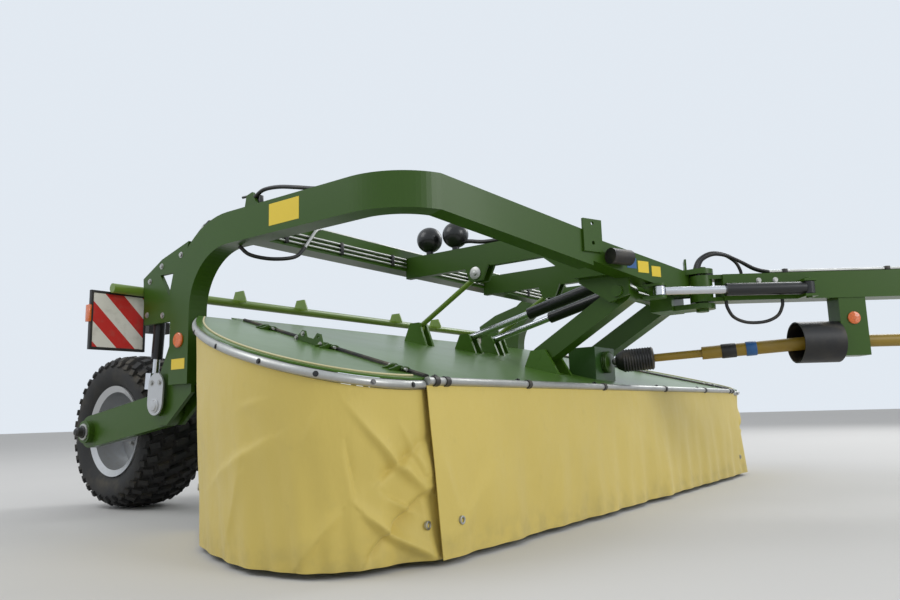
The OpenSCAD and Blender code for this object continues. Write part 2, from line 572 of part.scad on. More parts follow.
function quad(a, b, c, d) = [[a, b, c], [a, c, d]];
function unit(v) = v / norm(v);
function ring_dir(path, i) = unit(path[min(i + 1, len(path) - 1)] - path[max(i - 1, 0)]);
function ring(c, d, r, n) = let (s = unit(cross(d, [0, 0, 1])), u = cross(s, d))
    [for (k = [0:n - 1]) c + r * (cos(360 * k / n) * s + sin(360 * k / n) * u)];
module tube_path(path, r, n) {
    rings = [for (i = [0:len(path) - 1]) ring(path[i], ring_dir(path, i), r, n)];
    m = len(path);
    polyhedron(points = [for (q = rings) each q], faces = concat(
        [[for (k = [n - 1:-1:0]) k]],
        [[for (k = [0:n - 1]) (m - 1) * n + k]],
        [for (i = [0:m - 2], k = [0:n - 1]) each quad(i * n + k, i * n + (k + 1) % n,
            (i + 1) * n + (k + 1) % n, (i + 1) * n + k)]));
}

function out_dir(i) = let (d = bow[min(i + 1, bow_n)] - bow[max(i - 1, 0)]) unit([-d[1], d[0]]) * -1;
module side_curtain() {
    top = [for (i = [0:bow_n]) [bow[i][0], bow[i][1], deck_z(bow[i][0]) - 2 * rim_r - 3]];
    low = [for (i = [0:bow_n]) let (o = out_dir(i) * flare) [bow[i][0] + o[0], bow[i][1] + o[1], hem_gap]];
    thick = [for (i = [0:bow_n]) let (o = out_dir(i) * curtain_t) [o[0], o[1], 0]];
    m = bow_n + 1;
    pts = concat(top, low, [for (i = [0:bow_n]) low[i] + thick[i]], [for (i = [0:bow_n]) top[i] + thick[i]]);
    polyhedron(points = pts, faces = concat(
        [for (j = [0:3], i = [0:bow_n - 1]) let (a = j * m + i, b = ((j + 1) % 4) * m + i)
            each quad(a, b, b + 1, a + 1)],
        [[3 * m, 2 * m, m, 0]], [[bow_n, m + bow_n, 2 * m + bow_n, 3 * m + bow_n]]));
}
module side_curtain_right() row() color(cream) side_curtain();
module side_curtain_left() row() color(cream) mirror([0, 1, 0]) side_curtain();

arch_right();
arch_left();
front_head();
cross_beam();
pivot_covers();
light_bar();
warning_boards();
rear_lamps();
accumulators();
document_tube();
beam_pipes();
drawbar();
hitch_eye();
drive_line();
drive_cone();
jack_sleeve();
jack_leg();
swing_barrel();
swing_rod();
shaft_front();
shaft_rear();
shaft_cross_front();
shaft_cross_rear();
lower_link();
upper_links();
relief_barrels();
relief_rods();
swing_arm_right();
swing_arm_left();
wheel_rim_right();
wheel_rim_left();
tyre_right();
tyre_left();
lift_barrel_right();
lift_barrel_left();
lift_rod_right();
lift_rod_left();
header_deck();
header_sides();
edge_tube_front();
front_curtain();
cutter_bar();
gearbox();
rotor();
swath_board_right();
swath_board_left();
wing_right();
wing_left();
side_curtain_right();
side_curtain_left();
disc_1();
disc_2();
disc_3();
disc_4();
disc_5();
disc_6();
disc_7();
disc_8();
disc_9();
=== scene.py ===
"""Looks of a trailed disc mower conditioner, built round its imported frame. Blender 4.5, metres."""

import logging
import math
from dataclasses import dataclass, field
from enum import Enum
from functools import cache
from typing import Callable, Optional, Sequence, Union

import bmesh
import bpy
from mathutils import Matrix, Vector, noise

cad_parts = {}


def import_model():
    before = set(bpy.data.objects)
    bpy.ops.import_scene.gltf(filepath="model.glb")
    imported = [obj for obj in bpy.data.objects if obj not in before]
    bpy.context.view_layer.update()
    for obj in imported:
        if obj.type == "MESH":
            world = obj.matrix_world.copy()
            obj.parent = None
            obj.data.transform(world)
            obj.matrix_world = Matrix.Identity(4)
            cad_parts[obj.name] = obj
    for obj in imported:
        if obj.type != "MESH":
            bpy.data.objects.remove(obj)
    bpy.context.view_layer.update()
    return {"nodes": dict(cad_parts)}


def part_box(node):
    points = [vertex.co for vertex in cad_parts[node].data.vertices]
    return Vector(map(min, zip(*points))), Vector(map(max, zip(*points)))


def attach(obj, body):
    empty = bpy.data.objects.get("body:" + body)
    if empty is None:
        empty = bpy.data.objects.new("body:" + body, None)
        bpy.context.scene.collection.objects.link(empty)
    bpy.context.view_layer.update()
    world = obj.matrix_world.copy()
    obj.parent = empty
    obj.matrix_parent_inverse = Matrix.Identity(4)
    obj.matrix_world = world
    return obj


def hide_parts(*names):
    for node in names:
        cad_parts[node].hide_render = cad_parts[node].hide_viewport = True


LOG = logging.getLogger("mower")

# The drawbar: its swing pivot ahead of the axle, how far it is parked to the left, its length and its eye's height.
PIVOT_X = 2.88
SWING = math.radians(36)
BAR_LENGTH = 3.7
EYE_HEIGHT = 0.48
HITCH = Vector((PIVOT_X + BAR_LENGTH * math.cos(SWING), BAR_LENGTH * math.sin(SWING), EYE_HEIGHT))
FLOOR_Z = -EYE_HEIGHT

# The deck falls toward the front, and the head runs slantwise from the arches' front corners.
DECK_SLOPE = math.radians(14.5)
DECK_UP = Vector((math.sin(DECK_SLOPE), 0, math.cos(DECK_SLOPE)))
HEAD_CORNER = (2.306, 1.3536)
HEAD_TURN = math.radians(68)

PLATE_THICKNESS = 0.0012
SMOOTH_ANGLE = 35.0
SIDES = (("right", -1), ("left", 1))

Value = Union["Wire", float, int]
Colour = tuple[float, float, float]
Point = Union[Vector, tuple[float, float, float]]
Outline = Sequence[tuple[float, float]]
Place = Callable[[float, float], tuple[Vector, Vector]]


def at(x: float, y: float, z: float) -> Vector:
    """Turns a place on the machine (x ahead of the axle, y to its left, z above ground) into the row frame."""
    return Vector((x, y, z)) - HITCH


def on_bar(x: float, y: float, z: float) -> Vector:
    """Turns a place along the parked drawbar into the row frame.

    Args:
        x: distance from the swing pivot.
        y: distance to the drawbar's left.
        z: height above ground.

    Returns:
        The place in the row frame.
    """
    ahead, left = math.cos(SWING), math.sin(SWING)
    return at(PIVOT_X + x * ahead - y * left, x * left + y * ahead, z)


def srgb(red: int, green: int, blue: int) -> Colour:
    """Turns a colour written in 0 to 255 into a linear one.

    Args:
        red: its red.
        green: its green.
        blue: its blue.

    Returns:
        The linear colour.
    """

    def linear(value: int) -> float:
        """One channel's linear value."""
        part = value / 255
        return part / 12.92 if part <= 0.04045 else ((part + 0.055) / 1.055) ** 2.4

    return linear(red), linear(green), linear(blue)


def darker(colour: Colour, share: float) -> Colour:
    """The colour with its brightness cut to that share."""
    return tuple(channel * share for channel in colour)


DUST = srgb(150, 140, 112)
FILM = srgb(140, 130, 108)
GRIME = srgb(128, 122, 84)
SPLASH = srgb(130, 120, 105)


class Wire:
    """A shader value that takes part in Python sums: each operator adds its Math node."""

    def __init__(self, tree: "ShaderTree", socket: bpy.types.NodeSocket) -> None:
        """Wraps a socket of the tree."""
        self.tree = tree
        self.socket = socket

    def _math(self, operation: str, *values: Value) -> "Wire":
        """Adds a Math node of that operation on the values."""
        return self.tree.add("ShaderNodeMath", {"operation": operation}, dict(enumerate(values)))

    def __add__(self, other: Value) -> "Wire":
        """The sum."""
        return self._math("ADD", self, other)

    __radd__ = __add__

    def __sub__(self, other: Value) -> "Wire":
        """The difference."""
        return self._math("SUBTRACT", self, other)

    def __rsub__(self, other: Value) -> "Wire":
        """The difference, with this value taken from the other."""
        return self._math("SUBTRACT", other, self)

    def __mul__(self, other: Value) -> "Wire":
        """The product."""
        return self._math("MULTIPLY", self, other)

    __rmul__ = __mul__

    def __truediv__(self, other: Value) -> "Wire":
        """The quotient."""
        return self._math("DIVIDE", self, other)

    def __gt__(self, other: Value) -> "Wire":
        """1 where this value is the greater one, and 0 elsewhere."""
        return self._math("GREATER_THAN", self, other)

    def fraction(self) -> "Wire":
        """The part of the value after its whole number."""
        return self._math("FRACT", self)

    def wave(self) -> "Wire":
        """The sine of the value."""
        return self._math("SINE", self)

    def clamp(self) -> "Wire":
        """The value held between 0 and 1."""
        return self.tree.add("ShaderNodeClamp", {}, {"Value": self})

    def ease(self, low: float, high: float) -> "Wire":
        """A smooth step from 0 at low to 1 at high.

        Args:
            low: the value that gives 0.
            high: the value that gives 1.

        Returns:
            The eased value.
        """
        return self.tree.add(
            "ShaderNodeMapRange",
            {"interpolation_type": "SMOOTHSTEP"},
            {"Value": self, "From Min": low, "From Max": high},
        )


class ShaderTree:
    """A material's node tree, written as expressions."""

    def __init__(self, name: str) -> None:
        """Starts an empty material.

        Args:
            name: what it is called.
        """
        self.material = bpy.data.materials.new(name)
        self.material.use_nodes = True
        self.nodes = self.material.node_tree.nodes
        self.links = self.material.node_tree.links
        self.nodes.clear()

    def add(
        self,
        kind: str,
        settings: Optional[dict] = None,
        sockets: Optional[dict] = None,
        output: Union[int, str] = 0,
    ) -> Wire:
        """Adds one node.

        Args:
            kind: the node's type.
            settings: its own settings, and "stops" for a ramp's (place, colour) pairs.
            sockets: values or wires, by the input's name or number.
            output: the output that the result stands for.

        Returns:
            The wire of that output.
        """
        node = self.nodes.new(kind)
        for key, value in (settings or {}).items():
            if key == "stops":
                self._stops(node.color_ramp, value)
            else:
                setattr(node, key, value)
        for key, value in (sockets or {}).items():
            socket = node.inputs[key]
            if isinstance(value, Wire):
                self.links.new(value.socket, socket)
            elif isinstance(value, tuple) and len(value) == 3 and len(socket.default_value) == 4:
                socket.default_value = (*value, 1.0)
            else:
                socket.default_value = value
        return Wire(self, node.outputs[output])

    @staticmethod
    def _stops(ramp: bpy.types.ColorRamp, stops: Sequence[tuple[float, Colour]]) -> None:
        """Gives a ramp its stops.

        Args:
            ramp: the node's ramp.
            stops: (place, colour) pairs.
        """
        while len(ramp.elements) < len(stops):
            ramp.elements.new(1.0)
        for element, (place, colour) in zip(ramp.elements, stops):
            element.position = place
            element.color = (*colour, 1.0)

    def place(self) -> Wire:
        """Object coordinates, which are the row frame's metres."""
        return self.add("ShaderNodeTexCoord", output="Object")

    def axis(self, which: str, source: Optional[Wire] = None) -> Wire:
        """One of X, Y and Z of a vector, or of the place."""
        return self.add("ShaderNodeSeparateXYZ", {}, {0: source or self.place()}, which)

    def faces_up(self) -> Wire:
        """How far the surface faces upward, from -1 to 1."""
        return self.axis("Z", self.add("ShaderNodeNewGeometry", output="Normal"))

    def noise(self, scale: float, detail: float = 3.0, stretch: Optional[Colour] = None) -> Wire:
        """Soft noise from 0 to 1 over the place.

        Args:
            scale: how many blotches stand in a metre.
            detail: octaves.
            stretch: a factor for each axis.

        Returns:
            The noise value.
        """
        spot = self.place()
        if stretch is not None:
            spot = self.add("ShaderNodeMapping", {}, {"Vector": spot, "Scale": stretch})
        return self.add("ShaderNodeTexNoise", {}, {"Vector": spot, "Scale": scale, "Detail": detail})

    def cells(self, scale: float) -> Wire:
        """Distance to the nearest of scattered points, with that many of them to a metre."""
        return self.add("ShaderNodeTexVoronoi", {}, {"Vector": self.place(), "Scale": scale})

    def mix(self, share: Value, first: Union[Wire, Colour], second: Union[Wire, Colour]) -> Wire:
        """Mixes two colours.

        Args:
            share: how much of the second is seen, from 0 to 1.
            first: the colour at 0.
            second: the colour at 1.

        Returns:
            The mixed colour.
        """
        settings = {"data_type": "RGBA", "blend_type": "MIX"}
        return self.add("ShaderNodeMix", settings, {0: share, 6: first, 7: second}, 2)

    def bump(self, height: Wire, depth: float, below: Optional[Wire] = None) -> Wire:
        """A bump in the surface.

        Args:
            height: its form.
            depth: how deep it is, in metres.
            below: another bump that it lies on.

        Returns:
            The normal.
        """
        sockets: dict = {"Height": height, "Distance": depth, "Strength": 1.0}
        if below is not None:
            sockets["Normal"] = below
        return self.add("ShaderNodeBump", {}, sockets)

    def surface(self, **sockets: object) -> bpy.types.Material:
        """Ends the tree in a Principled shader.

        Args:
            sockets: values or wires by the input's name, with _ for a space.

        Returns:
            The material.
        """
        named = {key.replace("_", " "): value for key, value in sockets.items()}
        shader = self.add("ShaderNodeBsdfPrincipled", {}, named)
        end = self.nodes.new("ShaderNodeOutputMaterial")
        self.links.new(shader.socket, end.inputs["Surface"])
        return self.material


@dataclass(frozen=True)
class Paint:
    """Sprayed machine paint: a glossy coat, slight orange peel, and dust where it settles."""

    name: str
    colour: Colour
    rough: float = 0.28
    coat: float = 0.35
    dust: float = 0.25
    metal: float = 0.0
    gloss: float = 0.35

    def build(self) -> bpy.types.Material:
        """Builds its nodes.

        Returns:
            The material.
        """
        tree = ShaderTree(self.name)
        broad = tree.noise(1.7, 4)
        fine = tree.noise(38, 5)
        shade = tree.mix(broad.ease(0.3, 0.75) * 0.35, self.colour, darker(self.colour, 0.72))
        low = 1 - tree.axis("Z").ease(FLOOR_Z, FLOOR_Z + 0.75)
        level = tree.faces_up().ease(0.1, 0.95) * 0.28
        settled = ((level + low * 0.5) * fine.ease(0.36, 0.72) * self.dust).clamp()
        colour = tree.mix(settled, shade, DUST)
        peel = tree.bump(tree.noise(420, 1), 0.00005)
        return tree.surface(
            Base_Color=colour,
            Roughness=(self.rough + settled * 0.5 + (broad - 0.5) * 0.12).clamp(),
            Metallic=self.metal,
            Coat_Weight=((1 - settled) * self.coat).clamp(),
            Coat_Roughness=0.12,
            Specular_IOR_Level=self.gloss,
            Normal=peel,
        )


@dataclass(frozen=True)
class Metal:
    """Bare or zinc-plated metal with a faint grain and dull patches."""

    name: str
    colour: Colour
    rough: float = 0.35
    spangle: float = 0.2
    metal: float = 1.0

    def build(self) -> bpy.types.Material:
        """Builds its nodes.

        Returns:
            The material.
        """
        tree = ShaderTree(self.name)
        patches = tree.cells(90.0)
        grain = tree.noise(260, 3)
        dull = tree.noise(9, 4).ease(0.4, 0.75)
        colour = tree.mix((patches * self.spangle + dull * 0.25).clamp(), self.colour, darker(self.colour, 0.6))
        return tree.surface(
            Base_Color=colour,
            Roughness=(self.rough + grain * 0.12 + dull * 0.15).clamp(),
            Metallic=self.metal,
            Normal=tree.bump(grain, 0.00006),
        )


@dataclass(frozen=True)
class Plastic:
    """Moulded plastic or rubber with a fine grain and a film of dust."""

    name: str
    colour: Colour
    rough: float = 0.5
    grain: float = 0.00012
    dust: float = 0.3

    def build(self) -> bpy.types.Material:
        """Builds its nodes.

        Returns:
            The material.
        """
        tree = ShaderTree(self.name)
        grain = tree.noise(700, 2)
        film = (tree.noise(11, 5).ease(0.42, 0.8) * self.dust * (tree.faces_up().ease(-0.4, 0.9) + 0.3)).clamp()
        colour = tree.mix(film, self.colour, FILM)
        return tree.surface(
            Base_Color=colour,
            Roughness=(self.rough + film * 0.35 + (grain - 0.5) * 0.1).clamp(),
            Normal=tree.bump(grain, self.grain),
        )


@dataclass(frozen=True)
class Cloth:
    """Coated curtain cloth: a faint weave under a soft sheen, creased tone, and grime at the hem."""

    name: str
    colour: Colour
    weave: float = 0.0022

    def build(self) -> bpy.types.Material:
        """Builds its nodes.

        Returns:
            The material.
        """
        tree = ShaderTree(self.name)
        uv = tree.add("ShaderNodeUVMap")
        thread = 2 * math.pi / self.weave
        weave = (tree.axis("X", uv) * thread).wave() * (tree.axis("Y", uv) * thread).wave()
        blotch = tree.noise(2.3, 5)
        rubbed = tree.noise(14, 6)
        low = 1 - tree.axis("Z").ease(FLOOR_Z, FLOOR_Z + 0.16)
        colour = tree.mix(blotch.ease(0.35, 0.7) * 0.3, self.colour, darker(self.colour, 0.86))
        grime = (low * rubbed.ease(0.35, 0.7) * 0.28 + rubbed.ease(0.62, 0.8) * 0.08).clamp()
        colour = tree.mix(grime, colour, GRIME)
        creases = tree.bump(tree.noise(7, 5, stretch=(1, 1, 0.5)), 0.009)
        return tree.surface(
            Base_Color=colour,
            Roughness=(0.46 + rubbed * 0.16).clamp(),
            Sheen_Weight=0.12,
            Normal=tree.bump(weave, 0.00008, creases),
        )


@dataclass(frozen=True)
class Lens:
    """A ribbed lamp lens or reflector with a clear coat."""

    name: str
    colour: Colour
    ribs: float = 1100.0

    def build(self) -> bpy.types.Material:
        """Builds its nodes.

        Returns:
            The material.
        """
        tree = ShaderTree(self.name)
        ribs = (tree.axis("Z") * self.ribs).wave()
        glow = tree.mix(tree.noise(120, 2).ease(0.3, 0.7) * 0.5, self.colour, darker(self.colour, 0.55))
        return tree.surface(
            Base_Color=glow, Roughness=0.22, Coat_Weight=0.8, Coat_Roughness=0.05, Normal=tree.bump(ribs, 0.0004)
        )


@dataclass(frozen=True)
class Stripes:
    """Slanting red and white bands of a warning board, with reflective cells."""

    name: str
    first: Colour
    second: Colour
    pitch: float = 0.14
    cells: float = 260.0

    def build(self) -> bpy.types.Material:
        """Builds its nodes.

        Returns:
            The material.
        """
        tree = ShaderTree(self.name)
        run = (tree.axis("Y") + tree.axis("Z")) / (self.pitch * math.sqrt(2))
        band = run.fraction() > 0.5
        cells = tree.cells(self.cells)
        colour = tree.mix(band, self.first, self.second)
        colour = tree.mix(tree.noise(20, 4).ease(0.5, 0.8) * 0.3, colour, SPLASH)
        return tree.surface(
            Base_Color=colour, Roughness=(0.3 + cells * 0.3).clamp(), Normal=tree.bump(cells, 0.0001)
        )


class Finish(Enum):
    """Every finish on the machine."""

    GREEN = Paint("green_paint", srgb(54, 86, 18), rough=0.34, coat=0.08, dust=0.1, gloss=0.3)
    # Painted light: a lighter copy of the frame's green on the upward-facing deck and wings, for the light and sheen
    # they catch.
    DECK = Paint("deck_paint", srgb(72, 110, 34), rough=0.3, coat=0.12, dust=0.12, gloss=0.25)
    # Painted shade: a darker, greyer copy of the deck's green for the header's sides and the parts beneath it, with
    # heavier dust.
    SHADE_GREEN = Paint("underside_paint", srgb(52, 88, 36), rough=0.42, coat=0.15, dust=0.6)
    LIGHT_GREEN = Paint("link_paint", srgb(112, 142, 52), rough=0.32)
    SILVER = Paint("silver_paint", srgb(196, 198, 200), rough=0.34, coat=0.2, metal=0.55)
    YELLOW_PLATE = Paint("yellow_plate", srgb(236, 206, 50), rough=0.4, dust=0.1)
    ZINC = Metal("zinc_plate", srgb(186, 186, 182))
    CHROME = Metal("bright_rod", srgb(214, 216, 220), rough=0.12, spangle=0.02)
    STEEL = Metal("worn_steel", srgb(140, 138, 134), rough=0.42)
    BLACK_PAINT = Paint("black_paint", srgb(26, 27, 28), rough=0.38)
    RUBBER = Plastic("black_rubber", srgb(24, 24, 25), rough=0.62, dust=0.45)
    TYRE = Plastic("tyre_rubber", srgb(33, 33, 33), rough=0.72, grain=0.0003, dust=0.25)
    HOSE = Plastic("hose_rubber", srgb(18, 18, 19), rough=0.42, dust=0.2)
    GUARD = Plastic("guard_plastic", srgb(146, 120, 32), rough=0.42, dust=0.3)
    BLUE_BAND = Plastic("blue_plastic", srgb(40, 92, 150), rough=0.42)
    BLACK_PLASTIC = Plastic("black_plastic", srgb(22, 22, 23), rough=0.45)
    CURTAIN = Cloth("curtain_cloth", srgb(212, 190, 98))
    EDGE = Plastic("edge_trim", srgb(214, 204, 160), rough=0.45, dust=0.1)
    ORANGE_LENS = Lens("orange_lens", srgb(232, 110, 22))
    RED_LENS = Lens("red_lens", srgb(196, 24, 20))
    BOARD = Stripes("board_stripes", srgb(226, 224, 216), srgb(200, 34, 28))

    @property
    def material(self) -> bpy.types.Material:
        """The finish's material, built when it is first asked for."""
        made = bpy.data.materials.get(self.value.name)
        return made or self.value.build()


def blank(name: str, shape: bmesh.types.BMesh, finish: Finish, smooth: float = SMOOTH_ANGLE) -> bpy.types.Object:
    """Turns a bmesh into a piece of the scene.

    Args:
        name: the piece's name.
        shape: the mesh, which is freed.
        finish: what it is finished in.
        smooth: faces that meet below this angle in degrees are shaded as one.

    Returns:
        The object, at the origin.
    """
    bmesh.ops.remove_doubles(shape, verts=shape.verts, dist=1e-6)
    bmesh.ops.recalc_face_normals(shape, faces=shape.faces)
    mesh = bpy.data.meshes.new(name)
    shape.to_mesh(mesh)
    shape.free()
    piece = bpy.data.objects.new(name, mesh)
    bpy.context.scene.collection.objects.link(piece)
    piece.data.materials.append(finish.material)
    soften(piece, smooth)
    return piece


def soften(piece: bpy.types.Object, angle: float = SMOOTH_ANGLE) -> None:
    """Shades faces smooth and keeps sharp edges.

    Args:
        piece: what is shaded.
        angle: an edge is sharp from this many degrees on.
    """
    limit = math.radians(angle)
    shape = bmesh.new()
    shape.from_mesh(piece.data)
    for face in shape.faces:
        face.smooth = True
    for edge in shape.edges:
        edge.smooth = len(edge.link_faces) == 2 and edge.calc_face_angle(0.0) < limit
    shape.to_mesh(piece.data)
    shape.free()


def across(direction: Vector) -> tuple[Vector, Vector]:
    """Finds two unit directions square to the given one and to each other.

    Args:
        direction: the given one, of any length.

    Returns:
        Both directions.
    """
    along = direction.normalized()
    helper = Vector((0, 0, 1)) if abs(along.z) < 0.9 else Vector((1, 0, 0))
    side = along.cross(helper).normalized()
    return side, side.cross(along).normalized()


def spline(points: Sequence[Point], steps: int = 8) -> list[Vector]:
    """A smooth line through the points.

    Args:
        points: what it passes through.
        steps: stretches between two of them.

    Returns:
        The line's points, both ends included.
    """
    knots = [Vector(p) for p in points]
    ends = [2 * knots[0] - knots[1], *knots, 2 * knots[-1] - knots[-2]]
    line = []
    for a, b, c, d in zip(ends, ends[1:], ends[2:], ends[3:]):
        for step in range(steps):
            t = step / steps
            line.append(
                0.5 * (2 * b + (c - a) * t + (2 * a - 5 * b + 4 * c - d) * t * t + (3 * b - a - 3 * c + d) * t**3)
            )
    return [*line, knots[-1]]


def add_rings(shape: bmesh.types.BMesh, rings: Sequence[Sequence[Vector]], capped: bool = True) -> None:
    """Skins a row of rings with the same number of points each.

    Args:
        shape: where the faces go.
        rings: the rings, in order.
        capped: whether both ends are closed.
    """
    made = [[shape.verts.new(p) for p in ring] for ring in rings]
    for first, second in zip(made, made[1:]):
        for i in range(len(first)):
            j = (i + 1) % len(first)
            shape.faces.new((first[i], first[j], second[j], second[i]))
    if capped:
        shape.faces.new(list(reversed(made[0])))
        shape.faces.new(made[-1])


def add_tube(shape: bmesh.types.BMesh, line: Sequence[Point], radius: float, sides: int = 12) -> None:
    """Makes a round tube along a line, turned as little as can be from point to point.

    Args:
        shape: where the faces go.
        line: its middle.
        radius: half its diameter.
        sides: faces round it.
    """
    points = [Vector(p) for p in line]
    side = across(points[1] - points[0])[0]
    rings = []
    for i, here in enumerate(points):
        along = (points[min(i + 1, len(points) - 1)] - points[max(i - 1, 0)]).normalized()
        side = (side - along * side.dot(along)).normalized()
        up = side.cross(along)
        turns = [2 * math.pi * k / sides for k in range(sides)]
        rings.append([here + radius * (math.cos(a) * side + math.sin(a) * up) for a in turns])
    add_rings(shape, rings)


def add_lathe(
    shape: bmesh.types.BMesh,
    profile: Outline,
    base: Point,
    axis: Point,
    sides: int = 48,
    closed: bool = False,
) -> None:
    """Turns a profile of (along, radius) pairs round an axis.

    Args:
        shape: where the faces go.
        profile: the outline; a radius of 0 is closed by its cap.
        base: the axis's start.
        axis: its direction.
        sides: faces round it.
        closed: whether the last ring joins the first, as on a ring or tyre.
    """
    along = Vector(axis).normalized()
    side, up = across(along)
    turns = [2 * math.pi * k / sides for k in range(sides)]
    rings = [
        [Vector(base) + along * x + max(r, 1e-5) * (math.cos(a) * side + math.sin(a) * up) for a in turns]
        for x, r in profile
    ]
    if closed:
        rings.append(rings[0])
    add_rings(shape, rings, capped=not closed)


def add_block(
    shape: bmesh.types.BMesh, centre: Point, size: Point, bevel: float = 0.002, turn: Optional[Matrix] = None
) -> None:
    """A box with its edges eased.

    Args:
        shape: where the faces go.
        centre: its middle.
        size: its three lengths.
        bevel: how far the edges are eased.
        turn: a rotation about its middle.
    """
    part = bmesh.new()
    bmesh.ops.create_cube(part, size=1.0)
    bmesh.ops.scale(part, vec=Vector(size), verts=part.verts)
    if bevel:
        bmesh.ops.bevel(part, geom=part.edges, offset=bevel, segments=2, affect="EDGES", profile=0.5)
    place = Matrix.Translation(Vector(centre)) @ (turn.to_4x4() if turn else Matrix.Identity(4))
    bmesh.ops.transform(part, matrix=place, verts=part.verts)
    absorb(shape, part)


def absorb(shape: bmesh.types.BMesh, part: bmesh.types.BMesh) -> None:
    """Adds a part's faces to the shape and frees the part.

    Args:
        shape: where the faces go.
        part: the mesh that is taken up.
    """
    mesh = bpy.data.meshes.new("part")
    part.to_mesh(mesh)
    part.free()
    shape.from_mesh(mesh)
    bpy.data.meshes.remove(mesh)


def circle(x: float, y: float, radius: float, sides: int = 20) -> Outline:
    """A round outline in a plate's own plane."""
    turns = [2 * math.pi * k / sides for k in range(sides)]
    return [(x + radius * math.cos(a), y + radius * math.sin(a)) for a in turns]


def rectangle(wide: float, high: float) -> Outline:
    """A rectangle's outline about the middle of a plate's own plane."""
    return [(x * wide / 2, y * high / 2) for x, y in ((-1, -1), (1, -1), (1, 1), (-1, 1))]


def is_rim(edge: bmesh.types.BMEdge) -> bool:
    """Whether an edge of a level plate lies along its rim, on its top or its bottom."""
    level = abs(edge.verts[0].co.z - edge.verts[1].co.z) < 1e-6
    return level and len(edge.link_faces) == 2 and edge.calc_face_angle(0) > 1.2


def add_plate(
    shape: bmesh.types.BMesh,
    outline: Outline,
    thickness: float,
    place: Matrix,
    holes: Sequence[Outline] = (),
    bevel: float = 0.0015,
) -> None:
    """Makes a flat plate with holes.

    Args:
        shape: where the faces go.
        outline: its rim in its own plane.
        thickness: how thick it is, half to each side.
        place: turns its plane into the row frame.
        holes: outlines cut out of it.
        bevel: how far the rims are eased.
    """
    part = bmesh.new()
    for loop in (outline, *holes):
        corners = [part.verts.new((x, y, -thickness / 2)) for x, y in loop]
        for a, b in zip(corners, corners[1:] + corners[:1]):
            part.edges.new((a, b))
    bmesh.ops.triangle_fill(part, use_beauty=True, edges=part.edges)
    raised = bmesh.ops.extrude_face_region(part, geom=part.faces[:])
    top = [item for item in raised["geom"] if isinstance(item, bmesh.types.BMVert)]
    bmesh.ops.translate(part, vec=(0, 0, thickness), verts=top)
    bmesh.ops.recalc_face_normals(part, faces=part.faces)
    if bevel:
        rims = [edge for edge in part.edges if is_rim(edge)]
        bmesh.ops.bevel(part, geom=rims, offset=bevel, segments=1, affect="EDGES")
    bmesh.ops.transform(part, matrix=place, verts=part.verts)
    absorb(shape, part)


def upright(x: float, y: float, z: float) -> Matrix:
    """Stands a plate's plane up along the machine, with its own x ahead and its own y up."""
    return Matrix.Translation(at(x, y, z)) @ Matrix.Rotation(math.pi / 2, 4, "X")


